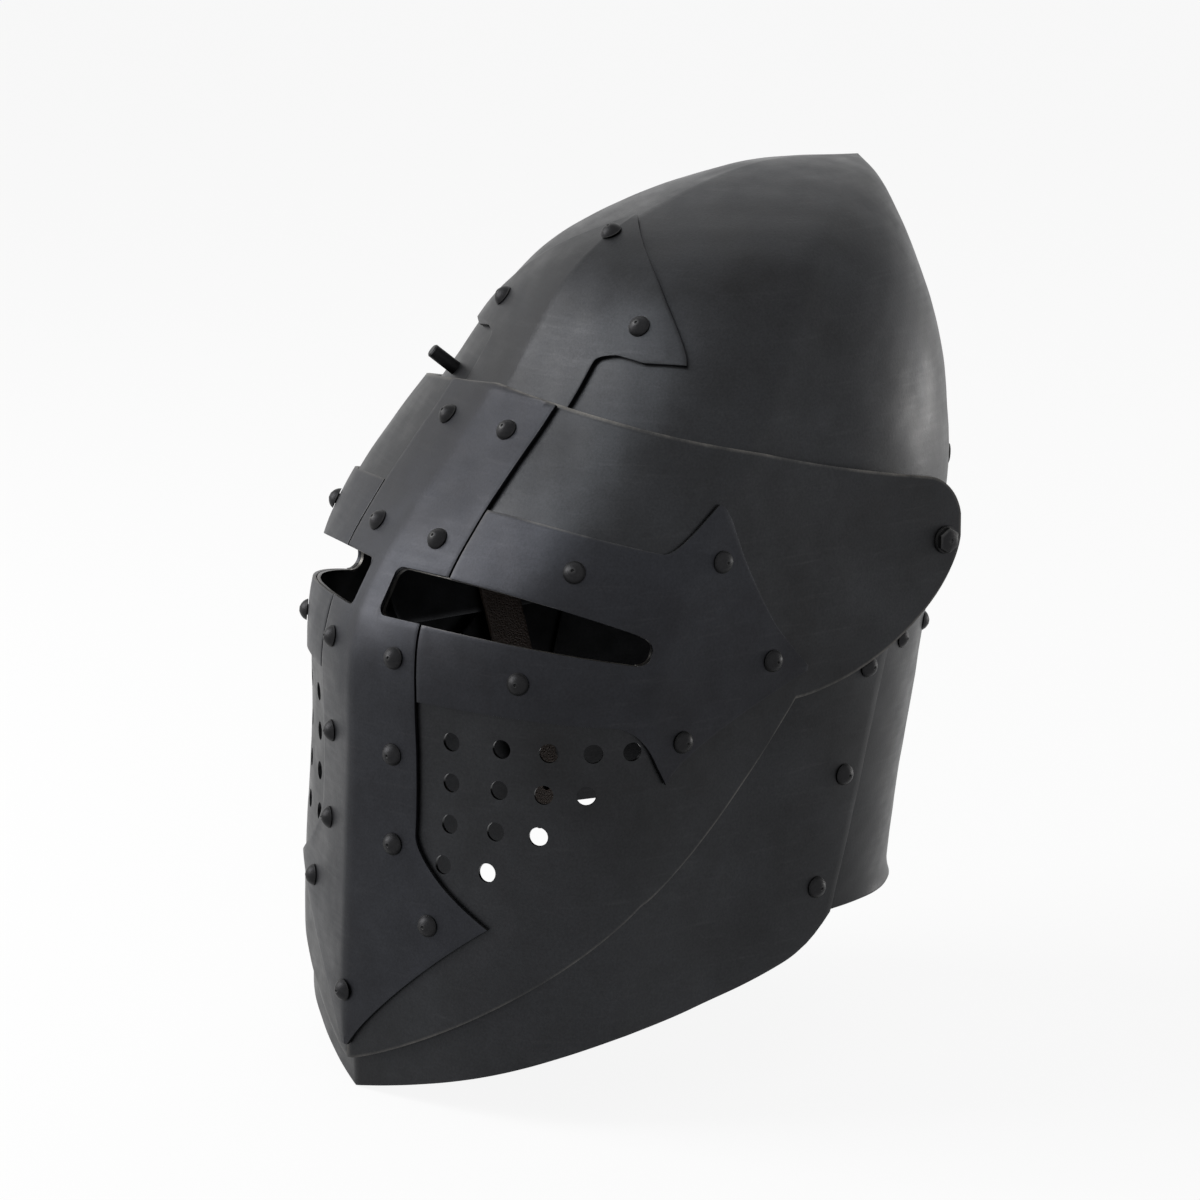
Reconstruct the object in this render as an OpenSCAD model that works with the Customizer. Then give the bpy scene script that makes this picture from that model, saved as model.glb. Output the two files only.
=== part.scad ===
// Visored bascinet of riveted steel plate.
// X runs to the wearer's left, the face looks along -Y, and Z = 0 is the tip of the throat plate.
// A plate is a patch of the body form: h is the height of a loop round the body, and u runs round it.
// u = 0 is the face ridge, 1 the cheek corner, 2 the start of the back arc and 3 the back seam line.

/* [Plate] */
// Thickness of every steel plate
plate_t = 1.5; // [1.2:0.1:1.8]
// Air left between plates that are riveted together
lay_gap = 0.45; // [0.3:0.05:0.5]
// Air from the skull to the inside of the closed visor
visor_gap = 4.4; // [4.2:0.1:5.2]

/* [Body form] */
// Height of the apex above the throat tip
apex_z = 379; // [370:1:390]
// Height where the dome starts above the brow
brow_z = 240; // [236:1:244]
// How far behind the centre the apex stands
apex_y = 130; // [126:1:134]
// How far in front of the centre the brow ridge stands
brow_y = 105.5; // [101:1:108]
// How far in front of the centre the chin stands
chin_y = 138; // [136:1:142]
// How far behind the centre the skull reaches
back_y = 149.5; // [146:0.5:152]
// How far behind the centre the neck reaches at its rim
neck_y = 111; // [108:1:114]
// Width of the skull over the ears
skull_w = 206; // [204:1:208]
// How much narrower the body is at the throat rim
rim_in = 6; // [4:0.5:9]
// Fullness of the back arc, where 2 is an ellipse
back_full = 2.3; // [2.2:0.05:2.4]

/* [Plate edges] */
// Height of the back plate's rim
back_rim_z = 71; // [66:1:76]
// Height of the throat rim below the ears
side_rim_z = 38; // [36:1:44]
// Height of the skull's edge over the face
face_top_z = 237; // [234:1:240]
// Height of the skull's edge behind the ears
nape_z = 169; // [166:1:174]
// Height of the top of the back and throat plates
collar_z = 190; // [188:1:192]
// Height of the throat plate's top under the chin
bevor_z = 60; // [54:1:66]
// Outward flare of the back rim
rim_flare = 2; // [1:0.5:4]

/* [Visor] */
// Height of the visor's top edge on the ridge
visor_top = 293; // [291:1:296]
// Height of the visor's bottom edge on the ridge
visor_low = 13.5; // [12:0.5:18]
// Distance of the pivot behind the centre
pivot_y = 90; // [88:1:92]
// Height of the pivot
pivot_z = 228; // [226:1:230]
// How far the flat insides of the visor lobes stand off the skull's widest point
lobe_out = 4; // [3.8:0.1:5]
// Length of the lobe behind the pivot
lobe_end = 9; // [8:0.5:12]

/* [Eye slots and breaths] */
// Height of the eye slot's lower edge at the nose
slot_z = 205; // [203:1:208]
// Width of the eye slot at the nose
slot_h = 18; // [16:0.5:20]
// Width of the eye slot at its outer end
slot_end_h = 11.4; // [10:0.1:13]
// Steel left between the eye slots
nose_w = 17; // [15:1:20]
// Diameter of a breath hole
breath_d = 8; // [6:0.5:9]
// Height of the top row of breath holes
breath_z = 161; // [159:1:162]
// Height between rows of breath holes
breath_pitch = 17.8; // [17:0.1:18]

/* [Cross plates] */
// Width of the long bar above the eyes
bar_top_w = 76; // [74:1:82]
// Width of the long bar below the eyes
bar_w = 69; // [62:1:70]
// Width across the flared foot of the bar
foot_w = 141; // [134:1:144]
// Height of the foot's outer tips
foot_z = 84; // [80:1:86]
// Height of the cross arm's upper edge at the bar
arm_top = 248; // [246:1:250]
// Height of the cross arm's lower edge at the bar
arm_low = 176; // [174:0.5:177]

/* [Rivets] */
// Diameter of a domed rivet head
head_d = 9.5; // [8:0.5:10]
// Height of a domed rivet head
head_h = 3.3; // [2.5:0.1:3.6]
// Diameter of a rivet shank
shank_d = 4.8; // [4:0.2:5]
// Height of a flat rivet head
flat_h = 1.4; // [1:0.1:1.8]

/* [Pivot] */
// Diameter of the pivot bolt
bolt_d = 6; // [5:0.5:6.5]
// Width across flats of the bolt head and nut
hex_w = 10; // [9.5:0.5:11]
// Diameter of the boss between skull and lobe
boss_d = 15; // [13:0.5:17]

/* [Catch] */
// Diameter of the catch pin
pin_d = 6.2; // [5.6:0.2:6.6]
// Travel of the pin when it is pressed
pin_travel = 9.4; // [8.8:0.1:9.6]
// Width of the catch's leaf spring
leaf_w = 12; // [11:1:14]
// Thickness of the leaf spring
leaf_t = 0.9; // [0.7:0.1:1]

/* [Lining and chin strap] */
// Thickness of the lining leather
leather_t = 2.2; // [1.8:0.2:2.6]
// Height of the lining band
band_h = 22; // [20:1:26]
// Width of a lining tongue at its foot
tongue_w = 34; // [30:1:36]
// Width of the chin strap
strap_w = 20; // [18:1:22]
// Diameter of the buckle wire
wire_d = 3; // [2.6:0.2:3.4]

/* [Hidden] */

run_gap = 0.06;
seat_gap = 0.18;
burr_h = 1.1;
burr_gap = 1.1;
burr_d = 6.6;
pin_out = pin_travel + visor_gap - 0.4;
steel = [0.19, 0.19, 0.21];
dark = [0.12, 0.12, 0.13];
hide = [0.42, 0.26, 0.15];

// Body form. Each row is a loop: front y and z, back y and z, half width, then the shares of the
// loop's length that the front and back arcs take, the depth of the ridge's sharp part and the
// fullness of the cheeks.
dome_h = apex_z - brow_z;
dome_l = apex_y + brow_y;
half_w = skull_w / 2;
rim_w = skull_w - rim_in;
lobe_x = half_w + lobe_out;
knots = [0, 75, 155, 195, brow_z, 296, 343, 375, 402, 430];
function dome(fy, fz, ry, rz, w, a, b, s, c) =
    [-brow_y + fy * dome_l, brow_z + fz * dome_h, back_y + ry, brow_z + rz * dome_h, w * half_w, a, b, s, c];
loops = [
    [-chin_y - 2.5, 0, neck_y - 5, 0, rim_w / 2 - 3, 0.27, 0.36, 19, 9],
    [-chin_y - 1, 75, neck_y, 75, rim_w / 2, 0.27, 0.38, 22, 9],
    [-chin_y + 3, 155, neck_y + 17, 155, half_w - 1.5, 0.27, 0.42, 22, 8],
    [-chin_y + 6, 195, neck_y + 27, 195, half_w, 0.27, 0.46, 16, 5.5],
    dome(0, 0, 0, 0, 1, 0.26, 0.50, 9, 9),
    dome(0.200, 0.403, 1, 0.33, 0.95, 0.31, 0.52, 10, 8),
    dome(0.354, 0.741, -6.5, 0.60, 0.81, 0.35, 0.54, 8, 4),
    dome(0.539, 0.906, -14.5, 0.80, 0.585, 0.40, 0.52, 6, 0),
    dome(0.767, 1.005, -17, 0.93, 0.27, 0.45, 0.50, 5, 0),
    dome(1, 1, -19.5, 0.99, 0.01, 0.49, 0.49, 0.3, 0)];

function seg(h, i = 0) = i >= len(knots) - 2 || h < knots[i + 1] ? i : seg(h, i + 1);
function slope(i) =
    i == 0 ? (loops[1] - loops[0]) / (knots[1] - knots[0]) :
    i == len(knots) - 1 ? (loops[i] - loops[i - 1]) / (knots[i] - knots[i - 1]) :
    (loops[i + 1] - loops[i - 1]) / (knots[i + 1] - knots[i - 1]);
function loop(h) = let (i = seg(h), d = knots[i + 1] - knots[i], f = (h - knots[i]) / d)
    loops[i] * (1 - 3 * f * f + 2 * f * f * f) + loops[i + 1] * (3 * f * f - 2 * f * f * f)
    + (slope(i) * (f - 2 * f * f + f * f * f) + slope(i + 1) * (f * f * f - f * f)) * d;

function mix(a, b, k) = a + (b - a) * k;
function clamp(k) = max(0, min(1, k));
function ease(k) = let (c = clamp(k)) c * c * (3 - 2 * c);
function unit(v) = v / norm(v);
function flip(p, s) = [s * p.x, p.y, p.z];

// Point of the body form at loop h and place u, on the wearer's left for u > 0.
function body0(h, u) = let (r = loop(h), v = abs(u), s = u < 0 ? -1 : 1,
    len = norm([r[2] - r[0], r[3] - r[1]]), dy = (r[2] - r[0]) / len, dz = (r[3] - r[1]) / len,
    front = r[5] * len, back = r[6] * len, g = 90 * (v < 1 ? v : v - 2),
    x = v < 1 ? r[4] * sin(g) : v < 2 ? r[4] : r[4] * pow(max(0, cos(g)), 2 / back_full),
    a = v < 1 ? front * (1 - cos(g)) + r[7] * (cos(g) + sin(g) - 1) - r[8] * pow(sin(g), 2) * sin(2 * g) :
        v < 2 ? mix(front, len - back, v - 1) : len - back + back * pow(sin(g), 2 / back_full))
    [s * x, r[0] + dy * a, r[1] + dz * a];

// Outward normal of a surface, taken on the left half and mirrored, with the ridge kept in the mid plane.
step = 0.002;
function facing(f, h, u) = let (v = min(2.995, max(step, abs(u))),
    across = f(h, v + step) - f(h, v - step), up = f(h + 0.1, v) - f(h - 0.1, v),
    n = unit(cross(across, up)), m = abs(u) < step || abs(u) > 2.997 ? unit([0, n.y, n.z]) : n)
    u < 0 ? flip(m, -1) : m;
body_f = function(h, u) body0(h, u);
function body(h, u, off) = body0(h, u) + off * facing(body_f, h, u);

// Inside of the visor: the body form over the face, run back straight and eased out to flat lobes.
lobe_y = pivot_y + lobe_end;
flat_y = 86;
function visor0(h, u) = let (v = abs(u), s = u < 0 ? -1 : 1)
    v <= 1 ? body0(h, u) + visor_gap * facing(body_f, h, u) :
    let (p = body0(h, 1) + visor_gap * facing(body_f, h, 0.999), q = body0(h, 1.5), e = unit([q.y - p.y, q.z - p.z]),
        y = mix(p.y, lobe_y, v - 1), z = p.z + (y - p.y) * e[1] / e[0])
    [s * mix(p.x, lobe_x, ease((y - p.y) / (flat_y - p.y))), y, z];
visor_f = function(h, u) visor0(h, u);
function visor(h, u, off) = visor0(h, u) + off * facing(visor_f, h, min(u, 1.999));

// Place round the face where the visor stands x to the left of the mid plane.
function face_u(x, h) = asin(x / (loop(h)[4] + visor_gap)) / 90;
// Place round the body where the straight or back part has the given y.
function side_u(y, h) = let (r = loop(h), len = r[2] - r[0], a = y - r[0], front = r[5] * len, back = r[6] * len)
    a < len - back ? 1 + (a - front) / (len - back - front) :
    2 + asin(pow((a - len + back) / back, back_full / 2)) / 90;

// Edges, as heights over the place u.
slot_out = 0.88;
slot_in = face_u(nose_w / 2, slot_z);
function slot_low(u) = slot_z - 8.3 * pow(min(u, slot_out) / slot_out, 2.4);
function slot_top(u) = slot_low(u) + mix(slot_h, slot_end_h, pow(min(u, slot_out) / slot_out, 3.2));
corner_u = 1.444;
corner_h = 170.5;
cheek_h = 94;
function visor_bottom(u) =
    u < 1 ? visor_low + (cheek_h - visor_low) * pow(u, 1.15) :
    u < corner_u ? mix(cheek_h, corner_h, pow((u - 1) / (corner_u - 1), 1.3)) :
    pivot_z + 3 - (pivot_z + 3 - corner_h) * pow(1 - pow((u - corner_u) / (2 - corner_u), 1.7), 1 / 1.7);
function visor_edge(u) =
    visor_top - 15 * u - 7 * max(0, u - 1) - (u < 1.85 ? 0 : 20 * (1 - sqrt(1 - pow((u - 1.85) / 0.15, 2))));

// Thin plate over a grid of columns and rows. at(i, j, k) gives the inner (k = 0) or outer (k = 1)
// point, keep(i, j) says which cells are steel, and tip closes the top over two apex points.
module plate(cols, rows, at, keep = function(i, j) true, closed = false, tip = []) {
    nc = closed ? cols : cols + 1;
    nr = rows + 1;
    id = function(i, j, k) (k * nr + j) * nc + (i % nc);
    kept = function(i, j) (closed || (i >= 0 && i < cols)) && j >= 0 && j < rows
        && keep(closed ? (i + cols) % cols : i, j);
    quad = function(a, b, c, d) [[a, b, c], [a, c, d]];
    wall = function(a, b) quad(b[0], a[0], a[1], b[1]);
    pair = function(i, j) [id(i, j, 0), id(i, j, 1)];
    pts = [for (k = [0, 1]) for (j = [0:rows]) for (i = [0:nc - 1]) at(i, j, k)];
    cells = [for (j = [0:rows - 1]) for (i = [0:cols - 1]) if (kept(i, j)) [i, j]];
    skin = [for (c = cells) let (i = c[0], j = c[1]) each concat(
        quad(id(i, j, 1), id(i, j + 1, 1), id(i + 1, j + 1, 1), id(i + 1, j, 1)),
        quad(id(i, j, 0), id(i + 1, j, 0), id(i + 1, j + 1, 0), id(i, j + 1, 0)),
        kept(i, j - 1) ? [] : wall(pair(i, j), pair(i + 1, j)),
        kept(i + 1, j) ? [] : wall(pair(i + 1, j), pair(i + 1, j + 1)),
        kept(i, j + 1) || (len(tip) > 0 && j == rows - 1) ? [] : wall(pair(i + 1, j + 1), pair(i, j + 1)),
        kept(i - 1, j) ? [] : wall(pair(i, j + 1), pair(i, j)))];
    last = 2 * nr * nc;
    fan = len(tip) == 0 ? [] : [for (i = [0:cols - 1]) each [
        [id(i, rows, 1), last + 1, id(i + 1, rows, 1)], [id(i, rows, 0), id(i + 1, rows, 0), last]]];
    polyhedron(points = concat(pts, tip), faces = concat(skin, fan), convexity = 8);
}

// Turns the Z axis along n and moves to p.
module toward(p, n) {
    translate(p) rotate([0, acos(n.z), atan2(n.y, n.x)]) children();
}
module rivet_shank(grip) {
    low = grip + burr_gap + burr_h / 2;
    translate([0, -low]) square([shank_d / 2, low + seat_gap + 0.2]);
    translate([0, -low - burr_h / 2]) square([burr_d / 2, burr_h]);
}
module dome_rivet(grip, head = head_d, high = head_h) {
    ball = (head * head / 4 + high * high) / (2 * high);
    rotate_extrude($fn = 32) {
        intersection() {
            translate([0, seat_gap + high - ball]) circle(r = ball, $fn = 64);
            translate([0, seat_gap]) square([head, high + 1]);
        }
        rivet_shank(grip);
    }
}
module flat_rivet(grip, head = 9) {
    rotate_extrude($fn = 32) {
        translate([0, seat_gap]) square([head / 2, flat_h]);
        rivet_shank(grip);
    }
}
// places is a list of [h, u]; on is "body" or "visor", and off is the height of the head's seat.
function spot(on, p, off) = on == "visor" ?
    visor(p[0], p[1], off) : body(p[0], p[1], off);
function normal_at(on, p) = facing(on == "visor" ? visor_f : body_f, p[0], p[1]);
module each_at(on, places, off) {
    for (p = places) toward(spot(on, p, off), normal_at(on, p)) children();
}
module shank_holes(on, places, d = shank_d) {
    each_at(on, places, 0) cylinder(h = 24, d = d + 2 * run_gap, center = true, $fn = 32);
}
function both(places) = [for (p = places) each [p, [p[0], -p[1]]]];

// Heights of the layers over the body form, and over the inside of the visor.
outer_lay = lay_gap + plate_t;
throat_lay = 2 * lay_gap + plate_t + 0.25;
cross_lay = plate_t + lay_gap;

brow_tip_h = 366;
brow_low_h = 286;
function brow_at(k) = mix(brow_low_h, brow_tip_h, k);
brow_spots = concat(both([[brow_at(0.455), 0.356]]), [[brow_at(0.8875), 0]]);
bar_pairs = [[21.4, 276.6], [22.2, 234.9], [22.4, 191], [22, 151.3], [23.2, 112.4], [43.3, 81]];
bar_spots = concat(both([for (p = bar_pairs) [p[1], face_u(p[0], p[1])]]), [[44, 0]]);
arm_spots = [[231.3, 0.607], [188.8, 0.523], [234.9, 1.075], [189.4, 1.347], [162, 1.076]];
back_spots = [for (y = [80, 108]) each both([[183, side_u(y, 183)]])];
side_spots = both([[177, side_u(52, 177)], [131.5, side_u(39, 131.5)], [84, side_u(25, 84)]]);
seam_lap = 20;
side_tops = [for (p = side_spots) if (p[0] > nape_z) p];
side_lows = [for (p = side_spots) if (p[0] <= nape_z) p];
pin_x = half_w - 41;
pin_loop = 292;
strap_spots = both([[206, side_u(-4, 206)]]);
band_z = 252;
lining_spots = both([for (u = [1.08, 1.74, 2.2, 2.7]) [band_z, u]]);
leaf_spots = [[308, -0.78], [311.5, -0.86]];
pin_u = -asin(pin_x / loop(pin_loop)[4]) / 90;
pin_h = visor_edge(-pin_u) + 6;
pin_n = normal_at("body", [pin_h, pin_u]);
pin_p = body(pin_h, pin_u, 0);
pivot_x = lobe_x + plate_t;

// Skull: one raised plate with a keel ridge, cut away over the face.
function skull_edge(u) = mix(face_top_z, nape_z, ease((abs(u) - 0.82) / 0.36));
module pivot_holes(d) {
    for (s = [-1, 1]) translate([s * (half_w - 13), pivot_y, pivot_z]) rotate([0, 90, 0])
        cylinder(h = 60, d = d + 2 * run_gap, center = true, $fn = 32);
}
module skull() {
    cols = 64;
    us = [for (i = [0:cols - 1]) 6 * i / cols - 3];
    rows = 15;
    top = 424;
    at = function(i, j, k) let (u = us[i], f = j / rows, h = mix(skull_edge(u), top, f * (1.12 - 0.12 * f)))
        body(h, u, (k - 1) * plate_t);
    tip = body(429.5, 0, 0);
    color(steel) difference() {
        plate(cols, rows, at, closed = true, tip = [tip - [0, 0, 1.25 * plate_t], tip]);
        shank_holes("body", concat(brow_spots, back_spots, strap_spots, lining_spots, leaf_spots, side_tops));
        pivot_holes(bolt_d);
        toward(pin_p, pin_n) cylinder(h = 12, d = pin_d + 2 * run_gap, center = true, $fn = 32);
    }
}

// Brow plate: the cross arm's upper end, spread on the skull with three points.
brow_reach = 74.5;
brow_neck = 37.2;
brow_neck_h = brow_at(0.2125);
brow_barb_h = brow_at(0.3375);
function brow_half(h) =
    h > brow_barb_h ? mix(brow_reach, 1, pow((h - brow_barb_h) / (brow_tip_h - brow_barb_h), 1.25)) :
    h > brow_neck_h ? mix(brow_neck, brow_reach, pow((h - brow_neck_h) / (brow_barb_h - brow_neck_h), 7)) : brow_neck;
module brow_plate() {
    hs = [for (k = [0, 0.1125, 0.2125, 0.256, 0.2875, 0.31, 0.325, 0.3375, 0.425, 0.525, 0.625, 0.725, 0.825, 0.925, 1])
        brow_at(k)];
    cols = 14;
    at = function(i, j, k) let (g = i / 7 - 1, h = hs[j], u = asin(brow_half(h) / loop(h)[4]) / 90 * g,
        droop = h < brow_barb_h - 1 ? 0 : 2.5 * pow(abs(g), 3) * clamp((brow_barb_h + 27 - h) / 27))
        body(h - droop, u, lay_gap + k * plate_t);
    color(steel) difference() {
        plate(cols, len(hs) - 1, at);
        shank_holes("body", brow_spots);
    }
}
module brow_plate_rivets() {
    color(dark) each_at("body", brow_spots, outer_lay) dome_rivet(2 * plate_t + lay_gap);
}

// Back plate: laps under the throat plate's end, wraps the neck outside the skull's edge, with a flared rim.
function seam_y(h) = mix(33.5, 67, (h - back_rim_z) / (collar_z - back_rim_z));
function back_start(h) = side_u(seam_y(h) - seam_lap, h);
module back_plate() {
    at = function(i, j, k) let (h = mix(back_rim_z, collar_z + 6, pow(j / 7, 1.3)), first = back_start(h),
        v = mix(first, 6 - first, i / 34), u = v > 3 ? v - 6 : v,
        flare = rim_flare * pow(clamp((back_rim_z + 9 - h) / 9), 2))
        body(h, u, lay_gap + k * plate_t + flare * ease((v < 3 ? v - 2.1 : 3.9 - v) / 0.3));
    color(steel) difference() {
        plate(34, 7, at);
        shank_holes("body", concat(back_spots, side_spots));
    }
}
module back_plate_rivets() {
    color(dark) each_at("body", back_spots, outer_lay) dome_rivet(2 * plate_t + lay_gap, 8.5, 2.3);
}

// Throat plate: one plate round chin and cheeks, lapped over the back plate.
function throat_rim(u) = u < 1 ? side_rim_z * u : side_rim_z + 15 * pow(min(1, (u - 1) / 0.92), 1.5)
    + 17.5 * pow(clamp((u - 1.87) / 0.2), 3.5);
function throat_top(u) = bevor_z + (collar_z - bevor_z) * pow(min(1, u / 1.95), 1.2);
function throat_end(h) = side_u(seam_y(h), h);
function throat_off(v, h) = mix(0.6, throat_lay, ease((v - back_start(h) + 0.24) / 0.14));
module throat_plate() {
    cols = 44;
    rows = 8;
    us = [for (i = [0:cols]) let (k = i / 22 - 1) (k < 0 ? -1 : 1) * pow(abs(k), 1.05)];
    at = function(i, j, k) let (s = us[i] < 0 ? -1 : 1, f = abs(us[i]), v = 2.07 * f,
        h = mix(throat_rim(v), throat_top(v), j / rows), w = f * mix(2.07, throat_end(h), pow(f, 6)))
        body(h, s * w, throat_off(w, h) + k * plate_t);
    color(steel) difference() {
        plate(cols, rows, at);
        shank_holes("body", side_spots);
    }
}
module throat_plate_rivets() {
    color(dark) {
        each_at("body", side_lows, throat_lay + plate_t) dome_rivet(throat_lay + plate_t - lay_gap);
        each_at("body", side_tops, throat_lay + plate_t) dome_rivet(throat_lay + 2 * plate_t);
    }
}

// Visor: the face plate, with eye slots, breath holes and two flat lobes on the pivots.
breaths = [for (j = [0:3]) for (i = [0:4 - j])
    [breath_z - j * breath_pitch, (j == 3 ? 0.301 : 0.316) + 0.161 * i - 0.0045 * i * (i - 1) - 0.004 * j * i]];
half_u = concat([0, slot_in], [for (i = [1:14]) mix(slot_in, slot_out, i / 14)],
    [0.93, 1.0, 1.1, 1.22, 1.34, corner_u],
    [for (a = [16, 30, 44, 57, 68, 77, 84]) corner_u + (2 - corner_u) * sin(a)]);
side_n = len(half_u) - 1;
function mirror_list(l) = concat([for (i = [len(l) - 1:-1:1]) -l[i]], l);
low_rows = 9;
top_rows = 5;
// Height of row j, with two rows held on the eye slot's edges.
function held(v, j, lo, hi, low_n, top_n) = let (w = min(v, slot_out), a = (slot_low(w) - lo(w)) / (hi(w) - lo(w)),
    b = (slot_top(w) - lo(w)) / (hi(w) - lo(w)),
    f = j <= low_n ? a * j / low_n : b + (1 - b) * (j - low_n - 1) / top_n)
    mix(lo(v), hi(v), f);
// Rounds the outer ends of the eye slots.
module slot_ends() {
    shank_holes("visor", both([[(slot_low(slot_out) + slot_top(slot_out)) / 2, slot_out]]), slot_end_h);
}
low_f = function(v) visor_bottom(v);
top_f = function(v) visor_edge(v);
module visor_shell() {
    us = mirror_list(half_u);
    at = function(i, j, k) visor(held(abs(us[i]), j, low_f, top_f, low_rows, top_rows), us[i], k * plate_t);
    keep = function(i, j) let (v = abs(us[i] + us[i + 1]) / 2) !(j == low_rows && v > slot_in && v < slot_out);
    color(steel) difference() {
        plate(2 * side_n, low_rows + 1 + top_rows, at, keep);
        shank_holes("visor", both(breaths), breath_d);
        slot_ends();
        shank_holes("visor", concat(bar_spots, both(arm_spots)));
        pivot_holes(bolt_d);
    }
}

// Cross bar down the ridge, notched by the eye slots, with a spread foot.
bar_hs = concat([20, 29, 42, 57, 70], [for (d = [0, 3, 8, 15, 23, 34]) foot_z + d],
    [140, 158, arm_low, 191, slot_z, slot_z + slot_h, 235, arm_top, 260, 271, 282, visor_top - 1]);
slot_row = 15;
function bar_half(h) =
    h <= foot_z ? foot_w / 2 * pow((h - 19) / (foot_z - 19), 1.2) :
    h <= foot_z + 34 ? bar_w / 2 + (foot_w / 2 - bar_w / 2) * pow((foot_z + 34 - h) / 34, 1.6) :
    h <= slot_z ? bar_w / 2 - 2.5 * ease((h - arm_low) / 30) :
    mix(bar_w / 2 + 3, bar_top_w / 2, (h - slot_z - slot_h) / (visor_top - slot_z - slot_h));
bar_edge_gap = 0.5;
module cross_bar() {
    at = function(i, j, k) let (h = bar_hs[j], b = bar_half(h), n = min(nose_w / 2, b / 2),
        x = i < 5 ? mix(-b, -n, i / 5) : i > 7 ? mix(n, b, (i - 7) / 5) : (i - 6) * n,
        v = abs(face_u(abs(x), h)))
        visor(min(h, visor_edge(v) - 1), (x < 0 ? -1 : 1) * v, cross_lay + k * plate_t);
    color(steel) difference() {
        plate(12, len(bar_hs) - 1, at, function(i, j) !(j == slot_row && (i < 5 || i > 6)));
        shank_holes("visor", bar_spots);
    }
}
module cross_bar_rivets() {
    color(dark) each_at("visor", bar_spots, cross_lay + plate_t) dome_rivet(2 * plate_t + lay_gap);
}

// Cross arms beside the bar, spread to three points at the cheek.
arm_tip_u = 1.469;
arm_up_u = 0.942;
arm_down_u = 1.034;
arm_start = function(h) face_u(bar_half(h) + bar_edge_gap, h);
function arm_upper(v) =
    v < 0.85 ? arm_top - 8.6 * pow(clamp((v - 0.22) / 0.63), 1.6) :
    v < arm_up_u ? arm_top - 8.6 + 19 * pow((v - 0.85) / (arm_up_u - 0.85), 2.2) :
    v < 1.34 ? arm_top + 10.4 - 54 * pow((v - arm_up_u) / (1.34 - arm_up_u), 1.35) :
    mix(arm_top - 43.6, 184.5, (v - 1.34) / (arm_tip_u - 1.34));
function arm_lower(v) =
    v < 0.77 ? arm_low - 3.5 * pow(clamp((v - 0.22) / 0.55), 1.8) :
    v < arm_down_u ? arm_low - 3.5 - 27.6 * pow((v - 0.77) / (arm_down_u - 0.77), 2.7) :
    mix(arm_low - 31.1, 182.5, pow((v - arm_down_u) / (arm_tip_u - arm_down_u), 0.68));
arm_hi = function(v) arm_upper(v);
arm_lo = function(v) arm_lower(v);
arm_us = concat([for (i = [0:6]) 0.2 + (slot_out - 0.2) * i / 6],
    [0.905, arm_up_u, 0.99, arm_down_u, 1.1, 1.18, 1.26, 1.34, arm_tip_u]);
module cross_arm(s) {
    at = function(i, j, k) let (v0 = arm_us[i], h = held(v0, j, arm_lo, arm_hi, 3, 3),
        v = i == 0 ? arm_start(h) : v0)
        visor(h, v, cross_lay + k * plate_t);
    mirror([s < 0 ? 1 : 0, 0, 0]) difference() {
        plate(len(arm_us) - 1, 7, at, function(i, j) !(j == 3 && i < 6));
        slot_ends();
        shank_holes("visor", arm_spots);
    }
}
module cross_arm_left() {
    color(steel) cross_arm(1);
}
module cross_arm_right() {
    color(steel) cross_arm(-1);
}
module cross_arm_rivets(s) {
    color(dark) mirror([s < 0 ? 1 : 0, 0, 0])
        each_at("visor", arm_spots, cross_lay + plate_t) dome_rivet(2 * plate_t + lay_gap);
}
module cross_arm_rivets_left() {
    cross_arm_rivets(1);
}
module cross_arm_rivets_right() {
    cross_arm_rivets(-1);
}

// Pivots: bolt, boss scribed to the skull's outside, saddle scribed to its inside, and nut.
washer_t = 1;
bolt_head_h = 4;
saddle_x = half_w - 19;
boss_x = half_w - 17;
nut_h = 5;
bolt_in = saddle_x - nut_h - 3;
bolt_seat = pivot_x + washer_t + 0.4;
module at_pivot(x, s) {
    translate([s * x, pivot_y, pivot_z]) rotate([0, s * 90, 0]) children();
}
// Block of space under or over the skull round the pivot.
module skull_block(s, a, b) {
    mid = side_u(pivot_y, pivot_z);
    at = function(i, j, k) body(pivot_z + 7 * (j - 2), mid + 0.07 * (i - 2), k == 0 ? a : b);
    mirror([s < 0 ? 1 : 0, 0, 0]) plate(4, 4, at);
}
module pivot_bolt(s) {
    color(dark) {
        at_pivot(bolt_in, s) cylinder(h = bolt_seat - bolt_in, d = bolt_d, $fn = 32);
        at_pivot(bolt_seat, s) linear_extrude(bolt_head_h) circle(d = hex_w / cos(30), $fn = 6);
        at_pivot(pivot_x + 0.3, s) cylinder(h = washer_t + 0.1, d = hex_w + 3, $fn = 32);
    }
}
module pivot_bolt_left() {
    pivot_bolt(1);
}
module pivot_bolt_right() {
    pivot_bolt(-1);
}
module pivot_boss(s) {
    color(steel) difference() {
        at_pivot(boss_x, s) cylinder(h = lobe_x - 0.3 - boss_x, d = boss_d, $fn = 48);
        skull_block(s, -20, 0.1);
        at_pivot(boss_x - 6, s) cylinder(h = 40, d = bolt_d + 2 * run_gap, $fn = 32);
    }
}
module pivot_boss_left() {
    pivot_boss(1);
}
module pivot_boss_right() {
    pivot_boss(-1);
}
module pivot_saddle(s) {
    color(steel) difference() {
        at_pivot(saddle_x, s) cylinder(h = 18, d = boss_d, $fn = 48);
        skull_block(s, -plate_t - 0.3, 20);
        at_pivot(saddle_x - 14, s) cylinder(h = 40, d = bolt_d + 2 * run_gap, $fn = 32);
    }
}
module pivot_saddle_left() {
    pivot_saddle(1);
}
module pivot_saddle_right() {
    pivot_saddle(-1);
}
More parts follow.
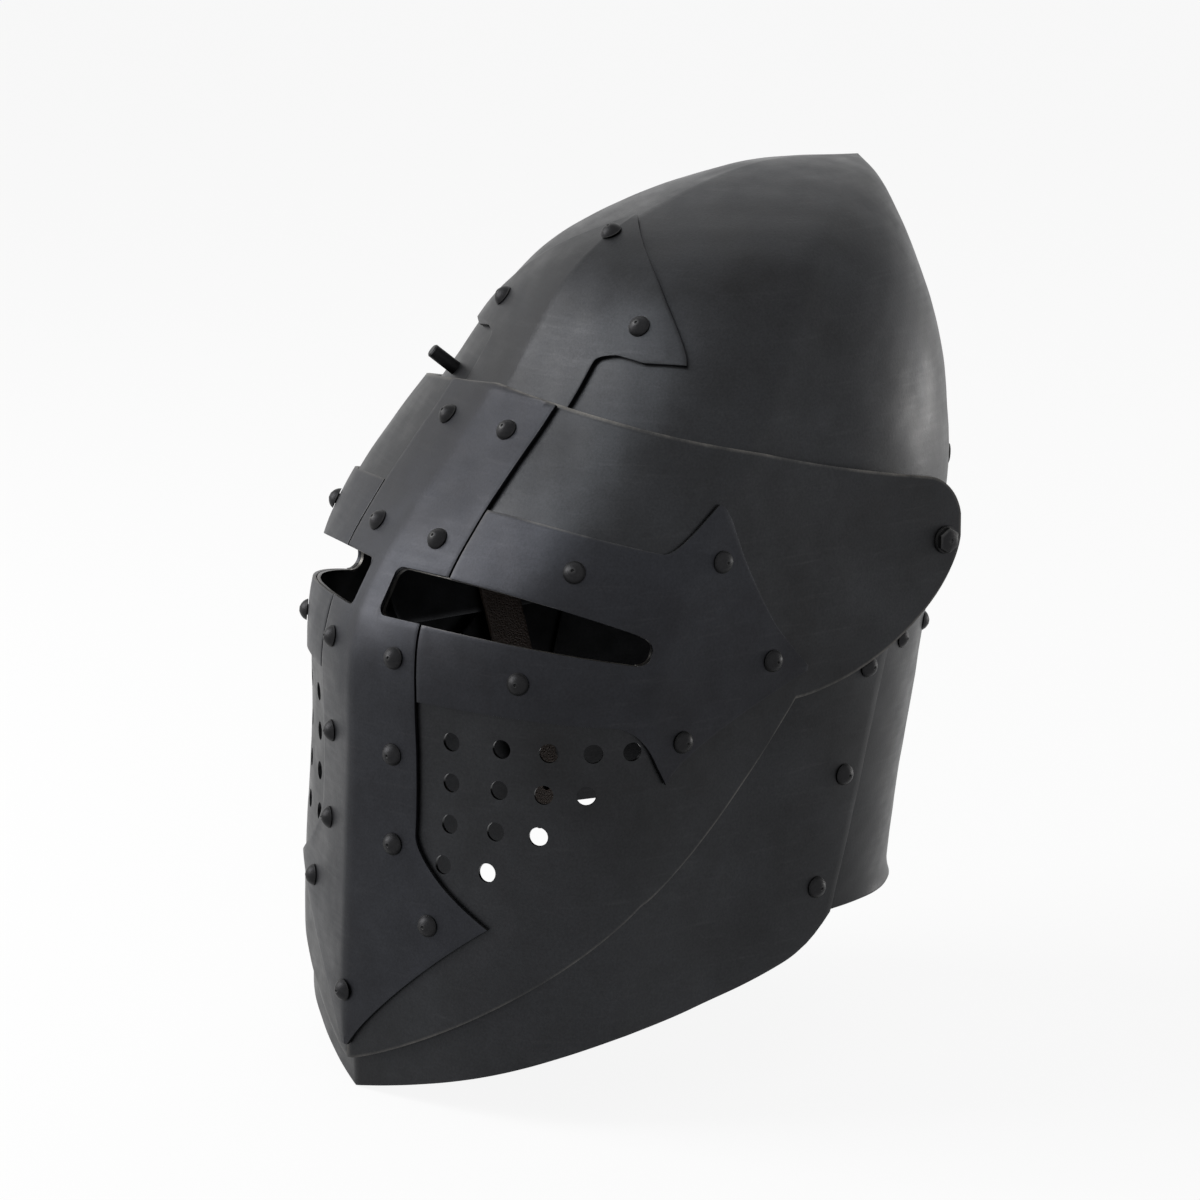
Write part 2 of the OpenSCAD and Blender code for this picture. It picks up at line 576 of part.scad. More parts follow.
module pivot_nut(s) {
    color(dark) difference() {
        at_pivot(saddle_x - seat_gap - nut_h, s) linear_extrude(nut_h) circle(d = hex_w / cos(30), $fn = 6);
        at_pivot(saddle_x - 24, s) cylinder(h = 40, d = bolt_d + 2 * run_gap, $fn = 32);
    }
}
module pivot_nut_left() {
    pivot_nut(1);
}
module pivot_nut_right() {
    pivot_nut(-1);
}

// Catch: a pin through the skull above the visor's edge, carried by a leaf spring inside.
collar_d = 10;
collar_h = 1.2;
tail_d = 4.4;
leaf_off = plate_t + 0.3 + collar_h + 0.1;
module catch_pin() {
    c0 = -plate_t - 0.3;
    c1 = c0 - collar_h;
    t0 = -leaf_off - leaf_t - 0.2;
    color(dark) toward(pin_p, pin_n) rotate_extrude($fn = 48)
        polygon([[0, t0 - 0.9], [3.4, t0 - 0.9], [3.4, t0], [tail_d / 2, t0], [tail_d / 2, c1], [collar_d / 2, c1],
            [collar_d / 2, c0], [pin_d / 2, c0], [pin_d / 2, pin_out - 0.6], [pin_d / 2 - 0.6, pin_out], [0, pin_out]]);
}
module catch_spring() {
    n = 10;
    at = function(i, j, k) let (f = mix(-0.09, 1.06, i / n), u = mix(pin_u, leaf_spots[1][1], f),
        h = mix(pin_h, leaf_spots[1][0], f), rise = mix(leaf_off, plate_t + lay_gap, ease(f * 1.3)),
        a = unit(body(leaf_spots[1][0], leaf_spots[1][1], 0) - pin_p), w = unit(cross(a, normal_at("body", [h, u]))))
        body(h, u, -rise - (1 - k) * leaf_t) - (j - 0.5) * leaf_w * w;
    color(steel) difference() {
        plate(n, 1, at);
        toward(pin_p, pin_n) cylinder(h = 12, d = tail_d + 2 * run_gap, center = true, $fn = 32);
        shank_holes("body", leaf_spots);
    }
}
module catch_spring_rivets() {
    color(dark) each_at("body", leaf_spots, 0) flat_rivet(plate_t + lay_gap + leaf_t + 0.1, 8);
}

// Lining: a leather band on the skull, eight tongues and a disc that joins them over the head.
crown_z = 322;
crown_y = 30;
crown_r = 33;
lap_r = 24;
tongue_n = 6;
band_off = plate_t + lay_gap;
tongue_off = band_off + leather_t + lay_gap + 0.2;
module lining_band() {
    at = function(i, j, k) body(band_z + (j - 0.5) * band_h, i / 8 - 3, -band_off - (1 - k) * leather_t);
    color(hide) difference() {
        plate(48, 1, at, closed = true);
        shank_holes("body", lining_spots);
    }
}
function bend(a, b, c, f) = a * (1 - f) * (1 - f) + b * 2 * f * (1 - f) + c * f * f;
function tongue_turn(p) = let (q = body(p[0], p[1], 0)) atan2(q.y - crown_y, q.x);
function crown_spot(p, r) = [r * cos(tongue_turn(p)), crown_y + r * sin(tongue_turn(p)), crown_z + leather_t];
// A tongue lies on the band, rises off the skull, bends in and laps the crown disc. c runs across it.
function tongue(p, c, f) =
    let (w = 0.1 * tongue_w / norm(body0(band_z, p[1] + 0.05) - body0(band_z, p[1] - 0.05)),
    u = p[1] + c * w, rise = body(band_z + 9, u, -tongue_off - 0.3), far = crown_spot(p, lap_r + 11),
    lap = unit(cross([0, 0, 1], [far.x, far.y - crown_y, 0])),
    knee = [mix(rise.x, far.x, 0.6), mix(rise.y, far.y, 0.6), far.z])
    f < 0 ? body(band_z - 9, u, -tongue_off) :
    f > 1 ? crown_spot(p, lap_r) + c * 7 * lap : bend(rise, knee, far + c * 9 * lap, f);
crown_pin_d = 2.4;
pin_r = lap_r + 4.5;
module crown_hole(p) {
    translate(crown_spot(p, pin_r)) cylinder(h = 12, d = crown_pin_d + 2 * run_gap, center = true, $fn = 32);
}
module lining_tongue(p) {
    last = tongue_n + 1;
    at = function(i, j, k) let (f = j == 0 ? -1 : j == last ? 2 : (j - 1) / (last - 2), c = i / 4 - 0.5,
        g = clamp(f), across = tongue(p, c + 0.01, g) - tongue(p, c - 0.01, g),
        along = tongue(p, c, g + 0.01) - tongue(p, c, max(0, g - 0.01)),
        n = f < 0 ? normal_at("body", p) : f >= 1 ? [0, 0, 1] : unit(cross(across, along)))
        tongue(p, c, f) - (1 - k) * leather_t * n;
    plate(4, last, at);
}
module lining_tongues() {
    color(hide) for (p = lining_spots) difference() {
        lining_tongue(p);
        shank_holes("body", [p]);
        crown_hole(p);
    }
}
module lining_rivets() {
    color(dark) each_at("body", lining_spots, 0) flat_rivet(band_off + 2 * leather_t + lay_gap);
}
module crown_disc() {
    color(hide) difference() {
        translate([0, crown_y, crown_z - leather_t - seat_gap]) cylinder(h = leather_t, r = crown_r, $fn = 64);
        for (p = lining_spots) crown_hole(p);
    }
}
module crown_rivets() {
    grip = 2 * leather_t + seat_gap;
    color(dark) for (p = lining_spots) translate(crown_spot(p, pin_r)) rotate_extrude($fn = 24) {
        translate([0, seat_gap]) square([2.6, 0.8]);
        translate([0, -grip - seat_gap - 0.4]) square([crown_pin_d / 2, grip + 2 * seat_gap + 0.8]);
        translate([0, -grip - seat_gap - 0.8]) square([2.3, 0.8]);
    }
}

// Chin strap: two straps inside the cheeks, the left one carrying a wire buckle at its lower end.
strap_t = 2.4;
strap_top = 216;
strap_low_left = 122;
strap_low_right = 62;
function strap_y(h) = mix(-4, 31, pow(clamp((206 - h) / 144), 1.1));
function strap_off(h) = plate_t + lay_gap + 1.2 * ease((206 - h) / 40);
module strap(s, h0) {
    n = 12;
    at = function(i, j, k) let (h = mix(h0, strap_top, j / n), y = strap_y(h) + (i - 0.5) * strap_w)
        body(h, side_u(y, h), -strap_off(h) - (1 - k) * strap_t);
    mirror([s < 0 ? 1 : 0, 0, 0]) plate(1, n, at);
}
sleeve_r = wire_d / 2 + run_gap + 1.7;
buckle_w = strap_w + 4.5;
buckle_l = 18;
prong_w = 3;
// Place of the buckle's hinge bar: X along the bar, Y out to the cheek and Z up the strap.
function strap_mid(h) = body(h, side_u(strap_y(h), h), -strap_off(h) - strap_t / 2);
hinge_z = unit(strap_mid(strap_low_left + 4) - strap_mid(strap_low_left));
hinge_p = strap_mid(strap_low_left) - (sleeve_r - 1.2) * hinge_z;
hinge_u = side_u(strap_y(strap_low_left), strap_low_left);
hinge_x = unit(cross(normal_at("body", [strap_low_left, hinge_u]), hinge_z));
hinge_y = cross(hinge_z, hinge_x);
module at_buckle() {
    multmatrix([for (i = [0:2]) [hinge_x[i], hinge_y[i], hinge_z[i], hinge_p[i]]]) children();
}
module bar_rod(x0, x1, d, z = 0) {
    translate([x0, 0, z]) rotate([0, 90, 0]) cylinder(h = x1 - x0, d = d, $fn = 32);
}
module chin_strap_left() {
    color(hide) difference() {
        union() {
            strap(1, strap_low_left);
            at_buckle() bar_rod(-strap_w / 2, strap_w / 2, 2 * sleeve_r);
        }
        at_buckle() bar_rod(-strap_w, strap_w, wire_d + 2 * run_gap);
        at_buckle() bar_rod(-prong_w / 2 - 0.5, prong_w / 2 + 0.5, 2 * sleeve_r + 1.2);
        shank_holes("body", strap_spots);
    }
}
module chin_strap_right() {
    color(hide) difference() {
        strap(-1, strap_low_right);
        shank_holes("body", strap_spots);
        shank_holes("body", [for (h = [72:10:112]) [h, -side_u(strap_y(h), h)]], 4);
    }
}
module chin_strap_rivets() {
    color(dark) each_at("body", strap_spots, 0) flat_rivet(plate_t + lay_gap + strap_t);
}
module buckle_frame() {
    r = buckle_w / 2;
    color(steel) at_buckle() {
        bar_rod(-r, r, wire_d);
        bar_rod(-r, r, wire_d, -buckle_l);
        for (x = [-r, r]) {
            translate([x, 0, -buckle_l]) cylinder(h = buckle_l, d = wire_d, $fn = 32);
            for (z = [0, -buckle_l]) translate([x, 0, z]) sphere(d = wire_d, $fn = 32);
        }
    }
}
module buckle_prong() {
    tip_y = -wire_d / 2 - run_gap;
    color(steel) at_buckle() difference() {
        union() {
            bar_rod(-prong_w / 2, prong_w / 2, wire_d + 2 * run_gap + 2.2);
            translate([-prong_w / 2, tip_y - 1.6, -buckle_l - 2.4]) cube([prong_w, 1.6, buckle_l + 2.4]);
        }
        bar_rod(-prong_w, prong_w, wire_d + 2 * run_gap);
    }
}

skull();
brow_plate();
brow_plate_rivets();
back_plate();
back_plate_rivets();
throat_plate();
throat_plate_rivets();
visor_shell();
cross_bar();
cross_bar_rivets();
cross_arm_left();
cross_arm_right();
cross_arm_rivets_left();
cross_arm_rivets_right();
pivot_bolt_left();
pivot_bolt_right();
pivot_boss_left();
pivot_boss_right();
pivot_saddle_left();
pivot_saddle_right();
pivot_nut_left();
pivot_nut_right();
catch_pin();
catch_spring();
catch_spring_rivets();
lining_band();
lining_tongues();
lining_rivets();
crown_disc();
crown_rivets();
chin_strap_left();
chin_strap_right();
chin_strap_rivets();
buckle_frame();
buckle_prong();
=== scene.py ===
import bpy
import bmesh
import math
import numpy as np
from mathutils import Matrix, Vector
from mathutils.kdtree import KDTree


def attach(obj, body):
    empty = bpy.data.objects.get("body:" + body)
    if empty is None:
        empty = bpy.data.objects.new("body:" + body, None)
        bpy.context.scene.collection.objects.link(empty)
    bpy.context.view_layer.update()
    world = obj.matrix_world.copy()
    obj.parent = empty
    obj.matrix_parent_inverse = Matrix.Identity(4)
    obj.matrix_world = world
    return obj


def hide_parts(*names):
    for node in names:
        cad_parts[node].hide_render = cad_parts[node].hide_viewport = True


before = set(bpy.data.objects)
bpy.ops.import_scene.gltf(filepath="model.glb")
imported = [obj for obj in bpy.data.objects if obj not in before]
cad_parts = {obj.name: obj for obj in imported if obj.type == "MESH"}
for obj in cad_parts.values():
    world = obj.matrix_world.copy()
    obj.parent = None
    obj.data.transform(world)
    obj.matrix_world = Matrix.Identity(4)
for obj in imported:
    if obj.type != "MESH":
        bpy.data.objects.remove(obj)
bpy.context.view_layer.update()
bpy.ops.object.select_all(action="DESELECT")
scene = bpy.context.scene

print("camera")
view = {"lookAt": (0.0, -0.013, 0.195), "distance": 1.73913, "azimuth": 53.8, "elevation": 13.56, "lens": 120}
az, el = math.radians(view["azimuth"]), math.radians(view["elevation"])
lookAt = Vector(view["lookAt"])
camBack = Vector((math.sin(az) * math.cos(el), -math.cos(az) * math.cos(el), math.sin(el)))
camRight = Vector((math.cos(az), math.sin(az), 0))
camUp = camBack.cross(camRight)
camData = bpy.data.cameras.new("photoCamera")
camData.lens = view["lens"]
camData.sensor_width = 36
camera = bpy.data.objects.new("photoCamera", camData)
scene.collection.objects.link(camera)
camera.matrix_world = Matrix.Translation(lookAt + camBack * view["distance"]) @ Matrix(
    (camRight, camUp, camBack)).transposed().to_4x4()
scene.camera = camera

# Form of the helmet, in millimetres.
form = {"apexZ": 379, "browZ": 240, "apexY": 130, "browY": 105.5, "chinY": 138, "backY": 149.5, "neckY": 111,
        "skullW": 206, "rimW": 200, "backFull": 2.3, "crownFull": 2.15, "fullFrom": 238, "fullOver": 50,
        "visorGap": 4.4, "plate": 1.5, "lay": 0.45, "pivotY": 90, "pivotZ": 228, "lobeX": 107, "lobeEnd": 9,
        "flatY": 86}
domeH = form["apexZ"] - form["browZ"]
domeL = form["apexY"] + form["browY"]
halfW = form["skullW"] / 2
plate, lay = form["plate"], form["lay"]


# A loop of the dome: its front and back end, half width, shares of front and back curve, keel and cheek.
def domeRow(frontY, frontZ, backY, backZ, wide, frontShare, backShare, keel, cheek):
    return [-form["browY"] + frontY * domeL, form["browZ"] + frontZ * domeH,
            form["backY"] + backY, form["browZ"] + backZ * domeH,
            wide * halfW, frontShare, backShare, keel, cheek]


# The heights that the ten loops are known by, then the loops in the same order as domeRow's values.
knots = np.array([0, 75, 155, 195, form["browZ"], 296, 343, 375, 402, 430], float)
loops = np.array([
    [-form["chinY"] - 2.5, 0, form["neckY"] - 5, 0, form["rimW"] / 2 - 3, 0.27, 0.36, 19, 9],
    [-form["chinY"] - 1, 75, form["neckY"], 75, form["rimW"] / 2, 0.27, 0.38, 22, 9],
    [-form["chinY"] + 3, 155, form["neckY"] + 17, 155, halfW - 1.5, 0.27, 0.42, 22, 8],
    [-form["chinY"] + 6, 195, form["neckY"] + 27, 195, halfW, 0.27, 0.46, 16, 5.5],
    domeRow(0, 0, 0, 0, 1, 0.26, 0.50, 9, 9),
    domeRow(0.200, 0.403, 1, 0.33, 0.95, 0.31, 0.52, 10, 8),
    domeRow(0.354, 0.741, -6.5, 0.60, 0.81, 0.35, 0.54, 11.5, 3),
    domeRow(0.539, 0.906, -14.5, 0.80, 0.585, 0.40, 0.52, 11, 0),
    domeRow(0.767, 1.005, -17, 0.93, 0.27, 0.45, 0.50, 7.5, 0),
    domeRow(1, 1, -19.5, 0.99, 0.01, 0.49, 0.49, 0.3, 0)], float)


# Slopes at the loops that keep the curvature steady from one to the next.
def steadySlopes():
    step = np.diff(knots)
    ends = [(loops[1] - loops[0]) / step[0], (loops[9] - loops[8]) / step[8]]
    rows, sums = np.eye(10), np.zeros_like(loops)
    sums[0], sums[9] = ends
    for i in range(1, 9):
        rows[i, i - 1:i + 2] = [1 / step[i - 1], 2 / step[i - 1] + 2 / step[i], 1 / step[i]]
        sums[i] = 3 * ((loops[i] - loops[i - 1]) / step[i - 1] ** 2 + (loops[i + 1] - loops[i]) / step[i] ** 2)
    return np.linalg.solve(rows, sums)


slopes = steadySlopes()


def loopAt(h):
    h = np.asarray(h, float)
    i = np.clip(np.searchsorted(knots, h, side="right") - 1, 0, 8)
    d = (knots[i + 1] - knots[i])[..., None]
    f = ((h - knots[i])[..., None]) / d
    return (loops[i] * (1 - 3 * f ** 2 + 2 * f ** 3) + loops[i + 1] * (3 * f ** 2 - 2 * f ** 3)
            + (slopes[i] * (f - 2 * f ** 2 + f ** 3) + slopes[i + 1] * (f ** 3 - f ** 2)) * d)


def mix(a, b, k):
    return a + (b - a) * k


def clamp(k):
    return np.clip(k, 0, 1)


def ease(k):
    c = clamp(k)
    return c * c * (3 - 2 * c)


# The angle of a sine, as a share of a quarter turn.
def quarters(k):
    return np.degrees(np.arcsin(np.clip(k, -1, 1))) / 90


def unit(v):
    return v / np.maximum(np.linalg.norm(v, axis=-1, keepdims=True), 1e-12)


# A point of the bare body on loop h. u runs from 0 at the keel over 1 and 2, the ends of the straight side,
# to 3 at the nape, and is negative on the wearer's right.
def body0(h, u):
    h, u = np.broadcast_arrays(h, u)
    r = loopAt(h)
    v, s = np.abs(u), np.where(u < 0, -1.0, 1.0)
    dy, dz = r[..., 2] - r[..., 0], r[..., 3] - r[..., 1]
    length = np.hypot(dy, dz)
    front, back = r[..., 5] * length, r[..., 6] * length
    g = np.radians(90 * np.where(v < 1, v, v - 2))
    cg, sg = np.cos(g), np.sin(g)
    power = 2 / mix(form["backFull"], form["crownFull"], ease((h - form["fullFrom"]) / form["fullOver"]))
    backX = r[..., 4] * np.maximum(0, cg) ** power
    x = np.where(v < 1, r[..., 4] * sg, np.where(v < 2, r[..., 4], backX))
    ridge = front * (1 - cg) + r[..., 7] * (cg + sg - 1) - r[..., 8] * sg ** 2 * np.sin(2 * g)
    arc = length - back + back * np.maximum(0, sg) ** power
    a = np.where(v < 1, ridge, np.where(v < 2, mix(front, length - back, v - 1), arc))
    return np.stack([s * x, r[..., 0] + dy / length * a, r[..., 1] + dz / length * a], -1)


# The outward direction of a surface. On the middle line it leans to neither side.
def facing(surface, h, u):
    step = 0.002
    h, u = np.broadcast_arrays(h, u)
    v = np.clip(np.abs(u), step, 2.995)
    n = unit(np.cross(surface(h, v + step) - surface(h, v - step), surface(h + 0.1, v) - surface(h - 0.1, v)))
    middle = (np.abs(u) < step) | (np.abs(u) > 2.997)
    n[..., 0] = np.where(middle, 0, n[..., 0] * np.where(u < 0, -1.0, 1.0))
    return unit(n)


# Slow unevenness of hand raised plate, the same for every layer so that their gaps stay.
def forged(p):
    x, y, z = p[..., 0], p[..., 1], p[..., 2]
    return (0.16 * np.sin(x * 0.083 + y * 0.041 + 1.3) * np.sin(z * 0.071 + y * 0.055 + 0.4)
            + 0.10 * np.sin(x * 0.17 - z * 0.13 + 2.1) * np.sin(y * 0.15 + z * 0.06)
            + 0.05 * np.sin(x * 0.31 + z * 0.27) * np.sin(y * 0.29 - z * 0.22 + 0.7))


def onBody(h, u, off):
    p = body0(h, u)
    return p + (off + forged(p))[..., None] * facing(body0, h, u)


# The visor's inside: the body with a gap in front, then straight back into a flat lobe on each side.
def visor0(h, u):
    h, u = np.broadcast_arrays(h, u)
    v, s = np.abs(u), np.where(u < 0, -1.0, 1.0)
    one = np.ones_like(v)
    faceV = np.minimum(v, 1)
    near = body0(h, faceV) + form["visorGap"] * facing(body0, h, faceV)
    p = body0(h, one) + form["visorGap"] * facing(body0, h, 0.999 * one)
    q = body0(h, 1.5 * one)
    slant = (q[..., 2] - p[..., 2]) / (q[..., 1] - p[..., 1])
    y = mix(p[..., 1], form["pivotY"] + form["lobeEnd"], v - 1)
    z = p[..., 2] + (y - p[..., 1]) * slant
    x = mix(p[..., 0], form["lobeX"], ease((y - p[..., 1]) / (form["flatY"] - p[..., 1])))
    far = np.stack([x, y, z], -1)
    out = np.where((v <= 1)[..., None], near, far)
    out[..., 0] *= s
    return out


def onVisor(h, u, off):
    p = visor0(h, u)
    return p + (off + forged(p))[..., None] * facing(visor0, h, np.minimum(u, 1.999))


# The place u of a half width x on the visor's front, and of a depth y on the body's side.
def faceU(x, h):
    return quarters(x / (loopAt(h)[..., 4] + form["visorGap"]))


def sideU(y, h):
    r = loopAt(h)
    length = r[..., 2] - r[..., 0]
    a, front, back = y - r[..., 0], r[..., 5] * length, r[..., 6] * length
    curve = 2 + quarters((np.maximum(0, a - length + back) / back) ** (form["backFull"] / 2))
    return np.where(a < length - back, 1 + (a - front) / (length - back - front), curve)


# Layers over the body: a plate on the skull, the throat plate over the back plate, the cross over the visor.
outerLay = lay + plate
throatLay = 2 * lay + plate + 0.25  # a little more air where the plates lap
crossLay = plate + lay

# Eye slot: heights and lengths in millimetres, its outer end as a place round the form.
slot = {"z": 205, "high": 18, "endHigh": 11.4, "fall": 8.3, "nose": 17, "out": 0.88, "round": 3.6, "perU": 168}
slotIn = float(faceU(slot["nose"] / 2, slot["z"]))
turnSteps = np.array([0, 0.12, 0.4, 0.9, 1.6, 2.5, 3.6])  # columns beside the nose, dense where the corner turns


def slotLine(u):
    return slot["z"] - slot["fall"] * (np.minimum(u, slot["out"]) / slot["out"]) ** 2.4


# How far the slot's edge turns in near the nose, which rounds its corner.
def slotTurn(u):
    inside = clamp((u - slotIn) * slot["perU"] / slot["round"])
    return slot["round"] * (1 - np.sqrt(1 - (1 - inside) ** 2)) * (u > slotIn - 1e-6)


def slotLow(u):
    return slotLine(u) + slotTurn(u)


def slotTop(u):
    rise = mix(slot["high"], slot["endHigh"], (np.minimum(u, slot["out"]) / slot["out"]) ** 3.2)
    return slotLine(u) + rise - slotTurn(u)


visorPlate = {"top": 293, "fall": 15, "sideFall": 7, "lobeU": 1.85, "lobeOver": 0.15, "lobeDrop": 20,
              "low": 13.5, "cheekH": 94, "cornerU": 1.444, "cornerH": 170.5, "lobeRise": 3,
              "lowRows": 76, "topRows": 34}


# The visor's top edge, down to the round end of its lobe. The catch pin stands over it.
def visorEdge(u):
    over = np.maximum(0, u - visorPlate["lobeU"]) / visorPlate["lobeOver"]
    drop = visorPlate["lobeDrop"] * (1 - np.sqrt(np.maximum(0, 1 - over ** 2)))
    return visorPlate["top"] - visorPlate["fall"] * u - visorPlate["sideFall"] * np.maximum(0, u - 1) - drop


def link(name, verts, faces):
    mesh = bpy.data.meshes.new(name)
    mesh.from_pydata([tuple(p) for p in verts], [], [tuple(int(k) for k in f) for f in faces])
    piece = bpy.data.objects.new(name, mesh)
    scene.collection.objects.link(piece)
    return piece


def activate(piece):
    bpy.ops.object.select_all(action="DESELECT")
    piece.select_set(True)
    bpy.context.view_layer.objects.active = piece


def applyModifier(piece, kind, **settings):
    activate(piece)
    modifier = piece.modifiers.new(kind.lower(), kind)
    for key, value in settings.items():
        setattr(modifier, key, value)
    bpy.ops.object.modifier_apply(modifier=modifier.name)


# A thin wall over a grid of points in millimetres, open where keep is false. A tip is a pair of points, inside
# and outside, that closes the top.
def gridPiece(name, inner, outer, keep=None, closed=False, tip=None):
    rows, cols = inner.shape[0] - 1, inner.shape[1] - (0 if closed else 1)
    count = inner.shape[1]
    keep = np.ones((rows, cols), bool) if keep is None else keep
    layer = inner.shape[0] * count
    verts = np.concatenate([inner.reshape(-1, 3), outer.reshape(-1, 3)])

    def at(i, j, k):
        return k * layer + j * count + (i % count)

    def kept(i, j):
        if j < 0 or j >= rows:
            return False
        if closed:
            return keep[j, i % cols]
        return 0 <= i < cols and keep[j, i]

    faces = []
    for j in range(rows):
        for i in range(cols):
            if not keep[j, i]:
                continue
            faces.append((at(i, j, 1), at(i + 1, j, 1), at(i + 1, j + 1, 1), at(i, j + 1, 1)))
            faces.append((at(i, j, 0), at(i, j + 1, 0), at(i + 1, j + 1, 0), at(i + 1, j, 0)))
            if not kept(i, j - 1):
                faces.append((at(i, j, 0), at(i + 1, j, 0), at(i + 1, j, 1), at(i, j, 1)))
            if not kept(i, j + 1) and not (tip is not None and j == rows - 1):
                faces.append((at(i + 1, j + 1, 0), at(i, j + 1, 0), at(i, j + 1, 1), at(i + 1, j + 1, 1)))
            if not kept(i + 1, j):
                faces.append((at(i + 1, j, 0), at(i + 1, j + 1, 0), at(i + 1, j + 1, 1), at(i + 1, j, 1)))
            if not kept(i - 1, j):
                faces.append((at(i, j + 1, 0), at(i, j, 0), at(i, j, 1), at(i, j + 1, 1)))
    if tip is not None:
        verts = np.concatenate([verts, tip])
        low, high = len(verts) - 2, len(verts) - 1
        for i in range(cols):
            faces.append((at(i, rows, 1), at(i + 1, rows, 1), high))
            faces.append((at(i + 1, rows, 0), at(i, rows, 0), low))
    used = np.zeros(len(verts), bool)
    for f in faces:
        used[list(f)] = True
    number = np.cumsum(used) - 1
    return link(name, verts[used] / 1000, [[number[k] for k in f] for f in faces])


def softenEdges(piece, width=0.28, segments=2):
    applyModifier(piece, "BEVEL", width=width / 1000, segments=segments, limit_method="ANGLE",
                  angle_limit=math.radians(50), use_clamp_overlap=True)


# Joins the pieces into the first one.
def joined(pieces):
    activate(pieces[0])
    for piece in pieces[1:]:
        piece.select_set(True)
    if len(pieces) > 1:
        bpy.ops.object.join()
    return pieces[0]


# The walls of a left hand piece, turned over for the wearer's right when s is negative.
def mirrored(s, *walls):
    return walls if s > 0 else [p[:, ::-1] * [-1, 1, 1] for p in walls]


# Stands a piece's z on the direction n at the point p.
def toward(p, n):
    turn = Vector((0, 0, 1)).rotation_difference(Vector(tuple(n)))
    return Matrix.Translation(Vector(tuple(p)) / 1000) @ turn.to_matrix().to_4x4()


# Cuts round holes, each given as (point, direction, diameter).
def drill(piece, holes, depth=14):
    cutters = []
    for p, n, d in holes:
        bpy.ops.mesh.primitive_cylinder_add(vertices=48, radius=d / 2000, depth=depth / 1000)
        cutters.append(bpy.context.active_object)
        cutters[-1].matrix_world = toward(p, n)
    tool = joined(cutters)
    bpy.ops.object.transform_apply()
    applyModifier(piece, "BOOLEAN", object=tool, operation="DIFFERENCE", solver="EXACT")
    bpy.data.objects.remove(tool)


# Marks how near each point is to a worked edge, for the bright wear there and a painted highlight on it: the
# pair's first value counts everywhere, its second more where the edge looks up, which paints top edges lighter as
# if lit from above (down-facing edges where it is negative). Edges inside a clear ball, (middle, radius), stay
# dark.
def markWearAndTopLight(piece, reach, wearAndTopLight, clear):
    mesh = piece.data
    bm = bmesh.new()
    bm.from_mesh(mesh)
    sharp = set()
    limit = math.radians(18)
    for e in bm.edges:
        if len(e.link_faces) == 2 and e.calc_face_angle(0) > limit:
            sharp.add(e.verts[0].index)
            sharp.add(e.verts[1].index)
    bm.free()
    values = np.zeros(len(mesh.vertices), np.float32)
    if sharp:
        tree = KDTree(len(sharp))
        for k in sharp:
            co = mesh.vertices[k].co
            if all((co - Vector(tuple(c)) / 1000).length * 1000 > r for c, r in clear):
                tree.insert(co, k)
        tree.balance()
        for k, v in enumerate(mesh.vertices):
            # Painted highlight: the edge mark grows with how far the edge faces up, as if lit from above.
            bareAndTopLit = min(1, max(0.05, wearAndTopLight[0] + wearAndTopLight[1] * v.normal.z))
            values[k] = bareAndTopLit * math.exp(-(tree.find(v.co)[2] * 1000 / reach) ** 2)
    layer = mesh.attributes.new("edgeWearAndLight", "FLOAT", "POINT")
    layer.data.foreach_set("value", values)


# The edge mark reaches this many millimetres from a worked edge; it is bright wear plus a painted highlight on
# edges that face up.
def finishPiece(piece, material, body, nodes, smooth=30, edgeWearAndLight=1.6, wearAndTopLight=(0.35, 0.9), clear=()):
    activate(piece)
    bpy.ops.object.shade_smooth_by_angle(angle=math.radians(smooth))
    markWearAndTopLight(piece, edgeWearAndLight, wearAndTopLight, clear)
    piece.data.materials.clear()
    piece.data.materials.append(material)
    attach(piece, body)
    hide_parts(*nodes)


print("materials")


def newGroup(name, inputs, outputs):
    group = bpy.data.node_groups.new(name, "ShaderNodeTree")
    for label, kind, value in inputs:
        socket = group.interface.new_socket(name=label, in_out="INPUT", socket_type=kind)
        if value is not None:
            socket.default_value = value
    for label, kind in outputs:
        group.interface.new_socket(name=label, in_out="OUTPUT", socket_type=kind)
    return group, group.nodes.new("NodeGroupInput"), group.nodes.new("NodeGroupOutput")


# Sets a node's inputs, each to a value or linked to another node's output.
def setInputs(tree, node, inputs):
    for key, value in inputs.items():
        if isinstance(value, bpy.types.NodeSocket):
            tree.links.new(value, node.inputs[key])
        else:
            node.inputs[key].default_value = value
    return node


def noiseNode(tree, vector, scale, detail=4, rough=0.55, stretch=None):
    if stretch:
        mapping = tree.nodes.new("ShaderNodeMapping")
        vector = setInputs(tree, mapping, {"Scale": stretch, "Vector": vector}).outputs["Vector"]
    inputs = {"Scale": scale, "Detail": detail, "Roughness": rough, "Vector": vector}
    return setInputs(tree, tree.nodes.new("ShaderNodeTexNoise"), inputs).outputs["Fac"]


def rangeNode(tree, value, low, high, outLow=0.0, outHigh=1.0):
    inputs = {"Value": value, "From Min": low, "From Max": high, "To Min": outLow, "To Max": outHigh}
    return setInputs(tree, tree.nodes.new("ShaderNodeMapRange"), inputs).outputs["Result"]


def mathNode(tree, operation, a, b):
    node = tree.nodes.new("ShaderNodeMath")
    node.operation = operation
    return setInputs(tree, node, {0: a, 1: b}).outputs["Value"]


def mixColor(tree, factor, a, b):
    node = tree.nodes.new("ShaderNodeMix")
    node.data_type = "RGBA"
    return setInputs(tree, node, {0: factor, 6: a, 7: b}).outputs[2]
